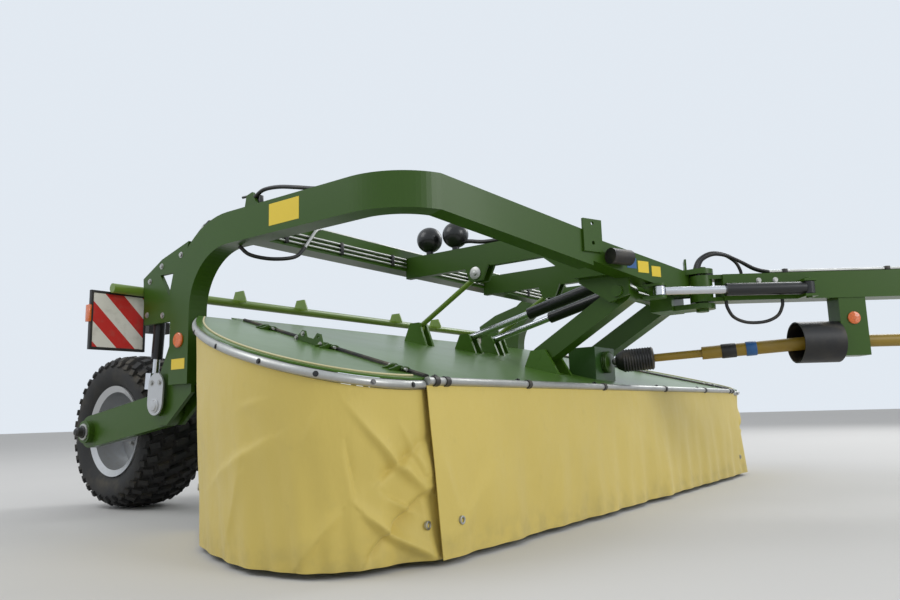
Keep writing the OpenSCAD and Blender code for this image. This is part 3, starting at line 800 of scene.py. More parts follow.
class PartTree:
    """A Geometry Nodes tree that repeats small parts, and the call that turns it into a mesh."""

    def __init__(self, name: str) -> None:
        """Starts a tree with a mesh as its input.

        Args:
            name: what it is called.
        """
        self.tree = bpy.data.node_groups.new(name, "GeometryNodeTree")
        self.face = self.tree.interface
        self.identifiers: dict[str, str] = {}
        self.face.new_socket("Geometry", in_out="OUTPUT", socket_type="NodeSocketGeometry")
        self.face.new_socket("Geometry", in_out="INPUT", socket_type="NodeSocketGeometry")
        self.start = self.tree.nodes.new("NodeGroupInput")

    def size(self, name: str, value: float) -> bpy.types.NodeSocket:
        """Adds a named size.

        Args:
            name: what it is called.
            value: what it is unless a run says otherwise.

        Returns:
            Its socket.
        """
        made = self.face.new_socket(name, in_out="INPUT", socket_type="NodeSocketFloat")
        made.default_value = value
        self.identifiers[name] = made.identifier
        return self.start.outputs[name]

    @property
    def host(self) -> bpy.types.NodeSocket:
        """The mesh that the tree runs on."""
        return self.start.outputs["Geometry"]

    def add(self, kind: str, settings: dict, sockets: dict) -> bpy.types.NodeSocket:
        """Adds one node.

        Args:
            kind: the node's type.
            settings: its own settings.
            sockets: values or links by the input's name or number, or a list of links.

        Returns:
            Its first output.
        """
        node = self.tree.nodes.new(kind)
        for key, value in settings.items():
            setattr(node, key, value)
        for key, value in sockets.items():
            for item in value if isinstance(value, list) else [value]:
                if isinstance(item, bpy.types.NodeSocket):
                    self.tree.links.new(item, node.inputs[key])
                else:
                    node.inputs[key].default_value = item
        return node.outputs[0]

    def attribute(self, name: str) -> bpy.types.NodeSocket:
        """A direction stored at each spot under that name."""
        return self.add("GeometryNodeInputNamedAttribute", {"data_type": "FLOAT_VECTOR"}, {"Name": name})

    def close(self, part: bpy.types.NodeSocket, turn: bpy.types.NodeSocket) -> "PartTree":
        """Ends the tree: the part at every spot, as real faces in one material.

        Args:
            part: the part's geometry.
            turn: how it is turned.

        Returns:
            This tree.
        """
        made = self.face.new_socket("Material", in_out="INPUT", socket_type="NodeSocketMaterial")
        self.identifiers["Material"] = made.identifier
        spots = {"Points": self.host, "Instance": part, "Rotation": turn}
        spread = self.add("GeometryNodeInstanceOnPoints", {}, spots)
        real = self.add("GeometryNodeRealizeInstances", {}, {0: spread})
        done = self.add("GeometryNodeSetMaterial", {}, {"Geometry": real, "Material": self.start.outputs["Material"]})
        end = self.tree.nodes.new("NodeGroupOutput")
        self.tree.links.new(done, end.inputs[0])
        return self

    def run(
        self,
        name: str,
        spots: Sequence[tuple[Point, Point]],
        finish: Finish,
        runs: Sequence[Point] = (),
        **sizes: float,
    ) -> bpy.types.Object:
        """Makes one piece of the parts at the spots.

        Args:
            name: the piece's name.
            spots: (place, facing) pairs.
            finish: the piece's finish.
            runs: the direction that each part lies along, where the tree asks for it.
            sizes: values of the tree's inputs, with _ for a space.

        Returns:
            The piece, a plain mesh at the origin.
        """
        mesh = bpy.data.meshes.new(name)
        mesh.from_pydata([tuple(p) for p, _ in spots], [], [])
        facing = mesh.attributes.new("facing", "FLOAT_VECTOR", "POINT")
        facing.data.foreach_set("vector", [c for _, d in spots for c in d])
        if runs:
            along = mesh.attributes.new("along", "FLOAT_VECTOR", "POINT")
            along.data.foreach_set("vector", [c for d in runs for c in d])
        piece = bpy.data.objects.new(name, mesh)
        bpy.context.scene.collection.objects.link(piece)
        live = piece.modifiers.new("parts", "NODES")
        live.node_group = self.tree
        for key, value in sizes.items():
            live[self.identifiers[key.replace("_", " ")]] = value
        live[self.identifiers["Material"]] = finish.material
        graph = bpy.context.evaluated_depsgraph_get()
        plain = bpy.data.meshes.new_from_object(piece.evaluated_get(graph), depsgraph=graph)
        piece.modifiers.remove(live)
        piece.data = plain
        if not plain.materials:
            plain.materials.append(finish.material)
        soften(piece)
        return piece


@cache
def bolt_tree() -> PartTree:
    """Builds the tree of a hexagon head on a washer at each spot, facing outward.

    Returns:
        The tree, the same one each time.
    """
    made = PartTree("bolts")
    head = made.size("Head radius", 0.009)
    height = made.size("Head height", 0.007)
    washer = made.size("Washer radius", 0.013)
    half = made.add("ShaderNodeMath", {"operation": "MULTIPLY"}, {0: height, 1: 0.5})
    lift = made.add("ShaderNodeCombineXYZ", {}, {2: half})
    hexagon = made.add("GeometryNodeMeshCylinder", {}, {"Vertices": 6, "Radius": head, "Depth": height})
    raised = made.add("GeometryNodeTransform", {}, {"Geometry": hexagon, "Translation": lift})
    disc = made.add("GeometryNodeMeshCylinder", {}, {"Vertices": 16, "Radius": washer, "Depth": 0.003})
    both = made.add("GeometryNodeJoinGeometry", {}, {0: [disc, raised]})
    facing = made.attribute("facing")
    turn = made.add("FunctionNodeAlignRotationToVector", {"axis": "Z"}, {"Vector": facing})
    return made.close(both, turn)


def settle(piece: bpy.types.Object, body: str) -> bpy.types.Object:
    """Gives a piece its body, and reports it.

    Args:
        piece: the finished object.
        body: the body that it rides on.

    Returns:
        The piece.
    """
    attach(piece, body)
    LOG.info("%s: %d faces on %s", piece.name, len(piece.data.polygons), body)
    return piece


def fit(
    name: str, shape: bmesh.types.BMesh, finish: Finish, body: str, smooth: float = SMOOTH_ANGLE
) -> bpy.types.Object:
    """Makes a piece of a bmesh and settles it.

    Args:
        name: the piece's name.
        shape: the mesh, which is freed.
        finish: what it is finished in.
        body: the body that it rides on.
        smooth: faces that meet below this angle in degrees are shaded as one.

    Returns:
        The piece.
    """
    return settle(blank(name, shape, finish, smooth), body)


def bolt(
    name: str, spots: Sequence[tuple[Point, Point]], finish: Finish, body: str, slot: str, **sizes: float
) -> None:
    """Sets bolts at the spots, as one piece.

    Args:
        name: the piece's name.
        spots: (place, facing) pairs.
        finish: what they are finished in.
        body: the body that they ride on.
        slot: not used.
        sizes: sizes of the bolt, with _ for a space.
    """
    settle(bolt_tree().run(name, spots, finish, **sizes), body)


def on_head(along: float, out: float, z: float) -> Vector:
    """A place on the right side of the slanting head.

    Args:
        along: distance from the arch's front corner.
        out: distance ahead of the head's outer face.
        z: height above ground.

    Returns:
        The place in the row frame.
    """
    x = HEAD_CORNER[0] + math.cos(HEAD_TURN) * along + math.sin(HEAD_TURN) * out
    y = HEAD_CORNER[1] - math.sin(HEAD_TURN) * along + math.cos(HEAD_TURN) * out
    return at(x, -y, z)


def run_length(line: Sequence[Vector]) -> float:
    """The length of a line of points."""
    return sum((b - a).length for a, b in zip(line, line[1:]))


def add_hose(name: str, body: str, points: Sequence[Point], radius: float) -> None:
    """Args:
        name: the piece's name.
        body: the body that it rides on.
        points: what its middle passes through, in the row frame.
        radius: half its diameter.
    """
    line = spline(points, 8)
    shape = bmesh.new()
    add_tube(shape, line, radius, 14)
    fit(name, shape, Finish.HOSE, body)
    round(run_length(line), 4)


@dataclass(frozen=True)
class Crease:
    """A ridge or valley in hanging cloth, between two places given as shares of its width and drop."""

    start: tuple[float, float]
    end: tuple[float, float]
    width: float
    depth: float
    gentle: float = 2.8
    steep: float = 0.75

    def lift(self, u: float, v: float) -> float:
        """How far the crease moves the cloth outward at a place.

        Args:
            u: share of the cloth's width.
            v: share of its drop.

        Returns:
            The distance, which falls off slowly on one flank and fast on the other.
        """
        here, first, last = Vector((u, v)), Vector(self.start), Vector(self.end)
        run = last - first
        share = min(1.0, max(0.0, (here - first).dot(run) / run.length_squared))
        gap = (here - first - run * share).length
        flank = run.x * (here.y - first.y) - run.y * (here.x - first.x)
        reach = self.width * (self.gentle if flank > 0 else self.steep)
        fade = math.sin(math.pi * (0.12 + 0.76 * share))
        return self.depth * fade * math.exp(-((gap / reach) ** 1.25))


@dataclass
class Curtains:
    """The cloth guards: one across the front and one under each wing, hung from the edge tubes."""

    bow: tuple = ((2.5, -1.747), (2.56, -2.15), (2.15, -2.44), (1.14, -1.64))
    rim_front: tuple[float, float] = (2.5, 0.559)
    hem: float = 0.02
    flare: float = 0.05
    side_flare: float = -0.03
    corner: tuple[float, float] = (2.557, -1.746)
    wrap: float = 0.16
    half: float = 1.743
    front_tube_at: tuple[float, float] = (2.514, 0.571)
    side_tube: float = 0.0155
    front_tube: float = 0.0145
    tuck: tuple[float, float, float] = (-0.014, 0.062, 0.0)
    tucked: float = 0.03
    inset: float = 0.004
    thickness: float = 0.0025
    eye_drop: float = 0.8
    columns: int = 250
    rows: int = 84
    side_creases: tuple = (
        Crease((0.29, 0.08), (0.02, 0.62), 0.016, 0.034),
        Crease((0.16, 0.52), (0.02, 0.3), 0.014, -0.026),
        Crease((0.22, 0.7), (0.02, 1.0), 0.014, 0.036),
        Crease((0.02, 0.6), (0.2, 0.94), 0.014, -0.03),
        Crease((0.1, 0.2), (0.03, 0.5), 0.012, 0.022),
        Crease((0.06, 0.72), (0.14, 0.62), 0.01, 0.02),
        Crease((0.33, 0.05), (0.4, 0.34), 0.016, 0.012),
        Crease((0.52, 0.16), (0.6, 0.24), 0.014, 0.012),
        Crease((0.5, 0.35), (0.74, 0.66), 0.022, 0.014),
        Crease((0.42, 0.96), (0.3, 0.7), 0.018, 0.018),
        Crease((0.28, 0.3), (0.24, 0.62), 0.012, -0.014),
        Crease((0.66, 0.9), (0.6, 0.55), 0.02, 0.012),
        Crease((0.88, 0.08), (0.8, 0.5), 0.016, 0.014),
        Crease((0.96, 0.1), (0.92, 0.6), 0.012, -0.01),
    )
    front_creases: tuple = (
        Crease((0.0, 0.3), (0.03, 0.75), 0.012, 0.010),
        Crease((0.02, 0.9), (0.1, 0.5), 0.02, 0.012),
        Crease((0.2, 0.9), (0.28, 0.3), 0.03, 0.006),
        Crease((0.55, 0.95), (0.5, 0.35), 0.03, 0.006),
        Crease((0.82, 0.9), (0.88, 0.2), 0.03, 0.007),
    )

    def line(self, share: float) -> Vector:
        """A place on the wing's edge, seen from above.

        Args:
            share: how far along the edge it is, from 0 at the front to 1.

        Returns:
            The place on the machine's right, at height 0.
        """
        t = share
        weights = ((1 - t) ** 3, 3 * (1 - t) ** 2 * t, 3 * (1 - t) * t * t, t**3)
        x, y = (sum(w * p[axis] for w, p in zip(weights, self.bow)) for axis in (0, 1))
        return Vector((x, y, 0))

    def outward(self, share: float) -> Vector:
        """The level direction away from the header at that share."""
        run = self.line(min(1.0, share + 0.01)) - self.line(max(0.0, share - 0.01))
        return Vector((-run.y, run.x, 0)).normalized()

    def rim_height(self, x: float) -> float:
        """Height of the wing's edge tube above ground."""
        return self.rim_front[1] + (self.rim_front[0] - x) * math.tan(DECK_SLOPE)

    def side_point(self, u: float, v: float) -> tuple[Vector, Vector]:
        """A place on the right wing's flat-hung cloth, whose front edge is tucked behind the front cloth.

        Args:
            u: share of its width, from the front.
            v: share of its drop.

        Returns:
            The place and its outward direction.
        """
        behind = Vector(self.tuck) * max(0.0, 1 - u / self.tucked)
        edge, out = self.line(u) + behind, self.outward(u)
        top = Vector((edge.x, edge.y, self.rim_height(edge.x) - self.side_tube))
        low = Vector((edge.x, edge.y, self.hem)) + out * self.side_flare
        pull = max(0.0, 1 - u / self.wrap) ** 2
        low = low.lerp(Vector((*self.corner, self.hem)) + behind, pull)
        return top.lerp(low, v) - out * self.inset, out

    def front_point(self, u: float, v: float) -> tuple[Vector, Vector]:
        """A place on the flat-hung front cloth.

        Args:
            u: share of its width, from the machine's right.
            v: share of its drop.

        Returns:
            The place and its outward direction.
        """
        x, z = self.front_tube_at
        y = -self.half + 2 * self.half * u
        top = Vector((x, y, z - self.front_tube))
        return top.lerp(Vector((x + self.flare, y, self.hem)), v), Vector((1, 0, 0))

    def lift(self, u: float, v: float, creases: Sequence[Crease], waves: float) -> float:
        """How far the folds move the cloth outward.

        Args:
            u: share of its width.
            v: share of its drop.
            creases: its marked folds.
            waves: how many soft waves cross it.

        Returns:
            The distance, which dies away at the top and at both ends.
        """
        turn = 2 * math.pi * waves * u
        soft = 0.006 * math.sin(turn + 1.3) + 0.004 * math.sin(turn * 2.3 + 4 * v)
        rough = 0.010 * noise.noise(Vector((u * waves * 1.7, v * 1.6, 3.1 + waves)))
        ends = min(1.0, 0.1 + min(u, 1 - u) / 0.02)
        return ends * min(1.0, 2.2 * v) * (soft * v + rough + sum(c.lift(u, v) for c in creases))

    def hang(
        self, name: str, body: str, place: Place, creases: Sequence[Crease], waves: float, flip: bool = False
    ) -> None:
        """Makes one cloth with its folds, and replaces its plain solid.

        Args:
            name: the CAD node that it stands for.
            body: the body that it rides on.
            place: gives a point and its outward direction for a share across and down.
            creases: its marked folds.
            waves: how many soft waves cross it.
            flip: whether it is mirrored to the machine's left.
        """
        sign = -1 if flip else 1
        shape = bmesh.new()
        layer = shape.loops.layers.uv.new("UVMap")
        across_shares = [i / self.columns for i in range(self.columns + 1)]
        grid = []
        for j in range(self.rows + 1):
            row = []
            for u in across_shares:
                flat, out = place(u, j / self.rows)
                spot = flat + out * self.lift(u, j / self.rows, creases, waves)
                row.append(shape.verts.new(at(spot.x, sign * spot.y, spot.z)))
            grid.append(row)
        hem = [place(u, 1)[0] for u in across_shares]
        across_m = [0.0]
        for a, b in zip(hem, hem[1:]):
            across_m.append(across_m[-1] + (b - a).length)
        down_m = [(low - place(u, 0)[0]).length for u, low in zip(across_shares, hem)]
        for j in range(self.rows):
            for i in range(self.columns):
                corners = ((i, j), (i + 1, j), (i + 1, j + 1), (i, j + 1))
                face = shape.faces.new([grid[b][a] for a, b in corners])
                for loop, (a, b) in zip(face.loops, corners):
                    loop[layer].uv = (across_m[a], down_m[a] * b / self.rows)
        area = sum(face.calc_area() for face in shape.faces)
        piece = blank(name + "_cloth", shape, Finish.CURTAIN, 180.0)
        wall = piece.modifiers.new("thickness", "SOLIDIFY")
        wall.thickness, wall.offset = self.thickness, 0.0
        settle(piece, body)
        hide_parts(name)
        self.grommets(name, body, place, sign, creases, waves)

    def grommets(
        self, name: str, body: str, place: Place, sign: int, creases: Sequence[Crease], waves: float
    ) -> bpy.types.Object:
        """Sets a metal eye near each lower corner of a cloth.

        Args:
            name: the cloth's CAD node.
            body: the body that it rides on.
            place: gives a point and its outward direction for a share across and down.
            sign: -1 where the cloth is mirrored to the machine's left.
            creases: the cloth's marked folds.
            waves: how many soft waves cross it.

        Returns:
            The eyes, as one piece.
        """
        ring = [(-0.006, 0.008), (-0.006, 0.014), (0.002, 0.014), (0.003, 0.011), (0.002, 0.008)]
        shape = bmesh.new()
        for u in (0.03, 0.97):
            flat, out = place(u, self.eye_drop)
            spot = flat + out * (0.005 + self.lift(u, self.eye_drop, creases, waves))
            facing = Vector((out.x, sign * out.y, 0))
            add_lathe(shape, ring, at(spot.x, sign * spot.y, spot.z), facing, 24, closed=True)
        return fit(name + "_eyes", shape, Finish.ZINC, body)

    def build(self) -> None:
        """Hangs all three cloths."""
        self.hang("front_curtain", "header", self.front_point, self.front_creases, 9)
        self.hang("side_curtain_right", "wing_right", self.side_point, self.side_creases, 5)
        self.hang("side_curtain_left", "wing_left", self.side_point, self.side_creases, 5, flip=True)


@cache
def lug_tree() -> PartTree:
    """Builds the tree of a rubber lug at each spot, drawn in toward its top, which stands out along its run.

    Returns:
        The tree, the same one each time.
    """
    made = PartTree("lugs")
    length = made.size("Lug length", 0.06)
    width = made.size("Lug width", 0.034)
    height = made.size("Lug height", 0.022)
    sizes = {"Vertices": 4, "Radius Top": 0.6, "Radius Bottom": 0.7071, "Depth": 1.0}
    cone = made.add("GeometryNodeMeshCone", {}, sizes)
    straight = made.add("GeometryNodeTransform", {}, {"Geometry": cone, "Rotation": (0.0, 0.0, math.pi / 4)})
    size = made.add("ShaderNodeCombineXYZ", {}, {0: length, 1: width, 2: height})
    sized = made.add("GeometryNodeTransform", {}, {"Geometry": straight, "Scale": size})
    facing, along = made.attribute("facing"), made.attribute("along")
    stood = made.add("FunctionNodeAlignRotationToVector", {"axis": "Z"}, {"Vector": facing})
    settings = {"axis": "X", "pivot_axis": "Z"}
    turned = made.add("FunctionNodeAlignRotationToVector", settings, {"Rotation": stood, "Vector": along})
    return made.close(sized, turned)


@dataclass
class Wheels:
    """Two lugged implement tyres, the nuts of their rims and the caps of their arms."""

    hub: tuple[float, float, float] = (0.0, 1.21, 0.425)
    section: tuple = ((0.2285, 0.138), (0.2505, 0.154), (0.27, 0.168), (0.29, 0.178), (0.335, 0.19), (0.362, 0.182))
    tread: tuple = ((0.381, 0.152), (0.395, 0.112), (0.402, 0.04))
    lugs: tuple = (
        (0.0, 0.401, 0.0, 0.08),
        (0.075, 0.397, 9.0, 0.062),
        (0.137, 0.382, 34.0, 0.058),
        (0.168, 0.364, 62.0, 0.036),
    )
    lug_count: int = 34
    lug_slant: float = 0.35
    nut_count: int = 8
    nut_circle: float = 0.1
    arm_face: float = 1.5395

    def tyre(self, side: str, sign: int) -> None:
        """Makes one tyre's carcass and its lugs.

        Args:
            side: right or left.
            sign: -1 for right and 1 for left.
        """
        centre = at(self.hub[0], sign * self.hub[1], self.hub[2])
        half = [*self.section, *self.tread]
        ring = [(-across_half, radius) for radius, across_half in half] + [(w, r) for r, w in reversed(half)]
        shape = bmesh.new()
        add_lathe(shape, ring, centre, (0, 1, 0), 96, closed=True)
        carcass = fit("tyre_wall_" + side, shape, Finish.TYRE, "wheel_" + side, 40.0)
        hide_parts("tyre_" + side)
        rows: dict[float, list] = {}
        for row, (out, radius, tilt, length) in enumerate(self.lugs):
            lean = math.radians(tilt)
            for hand in (-1, 1) if out else (1,):
                lateral = Vector((0, hand, 0))
                for k in range(self.lug_count):
                    a = 2 * math.pi * (k + 0.5 * (row % 2) + 0.12 * hand) / self.lug_count
                    radial = Vector((math.cos(a), 0, math.sin(a)))
                    slant = self.lug_slant * hand * radial.cross(Vector((0, 1, 0)))
                    facing = radial * math.cos(lean) + lateral * math.sin(lean)
                    run = lateral * math.cos(lean) - radial * math.sin(lean) + slant
                    rows.setdefault(length, []).append((centre + radial * radius + lateral * out, facing, run))
        for length, spots in sorted(rows.items()):
            name = f"tread_{side}_{round(length * 1000)}"
            places, runs = [(p, f) for p, f, _ in spots], [r for _, _, r in spots]
            settle(lug_tree().run(name, places, Finish.TYRE, runs, Lug_length=length), "wheel_" + side)

    def nuts(self, side: str, sign: int) -> None:
        """Puts the wheel nuts on the dish.

        Args:
            side: right or left.
            sign: -1 for right and 1 for left.
        """
        centre = at(self.hub[0], sign * (self.hub[1] + 0.004), self.hub[2])
        turns = [2 * math.pi * k / self.nut_count for k in range(self.nut_count)]
        out = Vector((0, sign, 0))
        spots = [(centre + self.nut_circle * Vector((math.cos(a), 0, math.sin(a))), out) for a in turns]
        sizes = {"Head_radius": 0.013, "Head_height": 0.016, "Washer_radius": 0.017}
        bolt("wheel_nuts_" + side, spots, Finish.ZINC, "wheel_" + side, "steel", **sizes)

    def arm_cap(self, side: str, sign: int) -> None:
        """Closes the arm's boss with a bright ring and a black cap.

        Args:
            side: right or left.
            sign: -1 for right and 1 for left.
        """
        base, out = at(self.hub[0], sign * self.arm_face, self.hub[2]), (0, sign, 0)
        ring = [(0, 0.034), (0, 0.044), (0.006, 0.044), (0.008, 0.034)]
        cap = [(0, 0.034), (0.012, 0.034), (0.016, 0.027), (0.040, 0.024), (0.048, 0.016), (0.05, 0.0)]
        shape = bmesh.new()
        add_lathe(shape, ring, base, out, 32, closed=True)
        fit("arm_ring_" + side, shape, Finish.ZINC, "swing_arm_" + side)
        shape = bmesh.new()
        add_lathe(shape, cap, base, out, 32)
        fit("arm_cap_" + side, shape, Finish.BLACK_PLASTIC, "swing_arm_" + side)

    def build(self) -> None:
        """Makes both wheels."""
        for side, sign in SIDES:
            self.arm_cap(side, sign)
            self.tyre(side, sign)
            self.nuts(side, sign)


@dataclass
class DeckEdges:
    """What lies on the deck and its wings: seam seals, hinges with pins, rim tubes, and the edge's clamps and bolts."""

    hinge_front: tuple[float, float, float] = (2.504, 1.7435, 0.5905)
    hinge_rear: tuple[float, float, float] = (1.144, 1.4224, 0.9422)
    hinge_height: float = 0.016
    skin: float = 0.0065
    brackets: tuple[float, ...] = (0.1, 0.42, 0.78)
    long_plate: float = 0.5
    clamps: tuple[float, ...] = (-1.70, -1.64, -1.1, -0.4, 0.4, 1.1, 1.64, 1.70)
    seal: tuple = ((0.012, 0), (0.012, 0.008), (0.02, 0.0125), (0.040, 0.009), (0.044, 0))
    rim_bolt_shares: tuple[float, ...] = (0.06, 0.2, 0.36, 0.52, 0.68, 0.84, 0.96)

    def axis(self, share: float, sign: int) -> Vector:
        """A place on a wing's hinge line.

        Args:
            share: how far along it the place is, from 0 at the front to 1.
            sign: -1 for right and 1 for left.

        Returns:
            The place in the row frame.
        """
        spot = Vector(self.hinge_front).lerp(Vector(self.hinge_rear), share)
        return at(spot.x, sign * spot.y, spot.z)

    def seals(self, side: str, sign: int) -> None:
        """Lays a black rubber strip on the deck along the seam.

        Args:
            side: right or left.
            sign: -1 for right and 1 for left.
        """
        inward = Vector((0, -sign, 0))
        rings = []
        for k in range(25):
            here = self.axis(0.01 + 0.97 * k / 24, sign) - DECK_UP * (self.hinge_height - self.skin)
            rings.append([here + inward * a + DECK_UP * b for a, b in self.seal])
        shape = bmesh.new()
        add_rings(shape, rings)
        fit("seam_seal_" + side, shape, Finish.RUBBER, "header")

    def hinges(self, side: str, sign: int) -> None:
        """Stands short ears on the deck and the wing with a pin through each pair, and the wing's long plate.

        Args:
            side: right or left.
            sign: -1 for right and 1 for left.
        """
        run = (self.axis(1, sign) - self.axis(0, sign)).normalized()
        low = self.skin - self.hinge_height
        ear = [(-0.0085, 0.0), (-0.006, 0.0065), (0.0, 0.009), (0.014, 0.009)]
        ear += [(0.036, low + 0.008), (0.05, low + 0.004), (0.05, low), (0.004, low)]
        fixed, moving, pins = bmesh.new(), bmesh.new(), bmesh.new()
        for share in self.brackets:
            centre = self.axis(share, sign)
            for shape, hand, shifts in ((fixed, -sign, (-0.034, 0.034)), (moving, sign, (-0.018, 0.018))):
                place = Matrix((run.cross(DECK_UP) * hand * sign, DECK_UP, run)).transposed().to_4x4()
                facing = 1 if place.col[0].to_3d().y * hand > 0 else -1
                for shift in shifts:
                    place.translation = centre + run * shift
                    add_plate(shape, [(facing * x, y) for x, y in ear], 0.008, place, bevel=0.0008)
            add_tube(pins, [centre - run * 0.05, centre + run * 0.05], 0.0055, 14)
        out = Vector((0, sign, 0))
        middle = self.axis(self.long_plate, sign) + out * 0.022
        place = Matrix((run, DECK_UP, run.cross(DECK_UP))).transposed().to_4x4()
        place.translation = middle
        rim = [(-0.12, low), (0.12, low), (0.12, low + 0.012), (0.09, 0.012), (0.066, 0.034), (0.044, 0.034)]
        rim += [(0.026, 0.012), (-0.03, 0.012), (-0.05, 0.038), (-0.076, 0.038), (-0.1, 0.01)]
        add_plate(moving, rim, 0.007, place, [circle(-0.063, 0.022, 0.006, 16)], bevel=0.0008)
        fit("hinge_ears_" + side, fixed, Finish.GREEN, "header")
        fit("hinge_arms_" + side, moving, Finish.GREEN, "wing_" + side)
        fit("hinge_pins_" + side, pins, Finish.ZINC, "header")
        places = ((0.055, 0.02), (0.1, -0.002), (-0.09, 0.0))
        spots = [(middle + run * a + DECK_UP * b + out * 0.0045, out) for a, b in places]
        sizes = {"Head_radius": 0.007, "Washer_radius": 0.01}
        bolt("hinge_bolts_" + side, spots, Finish.ZINC, "wing_" + side, "steel", **sizes)

    def tube_clamps(self, curtains: Curtains) -> None:
        """Puts clamps and their bolts along the front edge tube.

        Args:
            curtains: the cloths, which know where the tube is.
        """
        x, z = curtains.front_tube_at
        band = [(-0.012, 0.0142), (-0.012, 0.0175), (0.012, 0.0175), (0.012, 0.0142)]
        shape = bmesh.new()
        for y in self.clamps:
            add_lathe(shape, band, at(x, y, z), (0, 1, 0), 20, closed=True)
        fit("edge_clamps", shape, Finish.BLACK_PLASTIC, "header")
        spots = [(at(2.47, y, 0.5888), Vector((0.5, 0, 0.86))) for y in self.clamps]
        sizes = {"Head_radius": 0.007, "Washer_radius": 0.011}
        bolt("edge_bolts", spots, Finish.BLACK_PAINT, "header", "blackpaint", **sizes)

    def rim_bolts(self, side: str, sign: int, curtains: Curtains) -> None:
        """Sets black bolts in the wing's rim.

        Args:
            side: right or left.
            sign: -1 for right and 1 for left.
            curtains: the cloths, which know the rim's line.
        """
        spots = []
        for share in self.rim_bolt_shares:
            out = curtains.outward(share)
            edge = curtains.line(share) + out * 0.0136
            height = curtains.rim_height(curtains.line(share).x)
            spots.append((at(edge.x, -sign * edge.y, height), Vector((out.x, -sign * out.y, 0.2))))
        sizes = {"Head_radius": 0.006, "Head_height": 0.004, "Washer_radius": 0.009}
        bolt("rim_bolts_" + side, spots, Finish.BLACK_PAINT, "wing_" + side, "blackpaint", **sizes)

    def rims(self, side: str, sign: int, curtains: Curtains) -> None:
        """Runs the bright tube along the wing's rim, and the pale bead just inside it.

        Args:
            side: right or left.
            sign: -1 for right and 1 for left.
            curtains: the cloths, which know the rim's line.
        """
        bead = []
        for k in range(49):
            share = 0.01 + 0.98 * k / 48
            edge = curtains.line(share) - curtains.outward(share) * 0.03
            bead.append(at(edge.x, -sign * edge.y, 0.0245 + curtains.rim_height(edge.x)))
        shape = bmesh.new()
        add_tube(shape, bead, 0.0035, 8)
        fit("rim_bead_" + side, shape, Finish.EDGE, "wing_" + side)
        edges = [curtains.line(k / 60) for k in range(61)]
        shape = bmesh.new()
        add_tube(shape, [at(e.x, -sign * e.y, curtains.rim_height(e.x)) for e in edges], 0.0145, 24)
        fit("rim_tube_" + side, shape, Finish.ZINC, "wing_" + side)

    def build(self, curtains: Curtains) -> None:
        """Makes all of them on both sides.

        Args:
            curtains: the cloths, whose edges these follow.
        """
        for side, sign in SIDES:
            self.seals(side, sign)
            self.rims(side, sign, curtains)
            self.hinges(side, sign)
            self.rim_bolts(side, sign, curtains)
        self.tube_clamps(curtains)


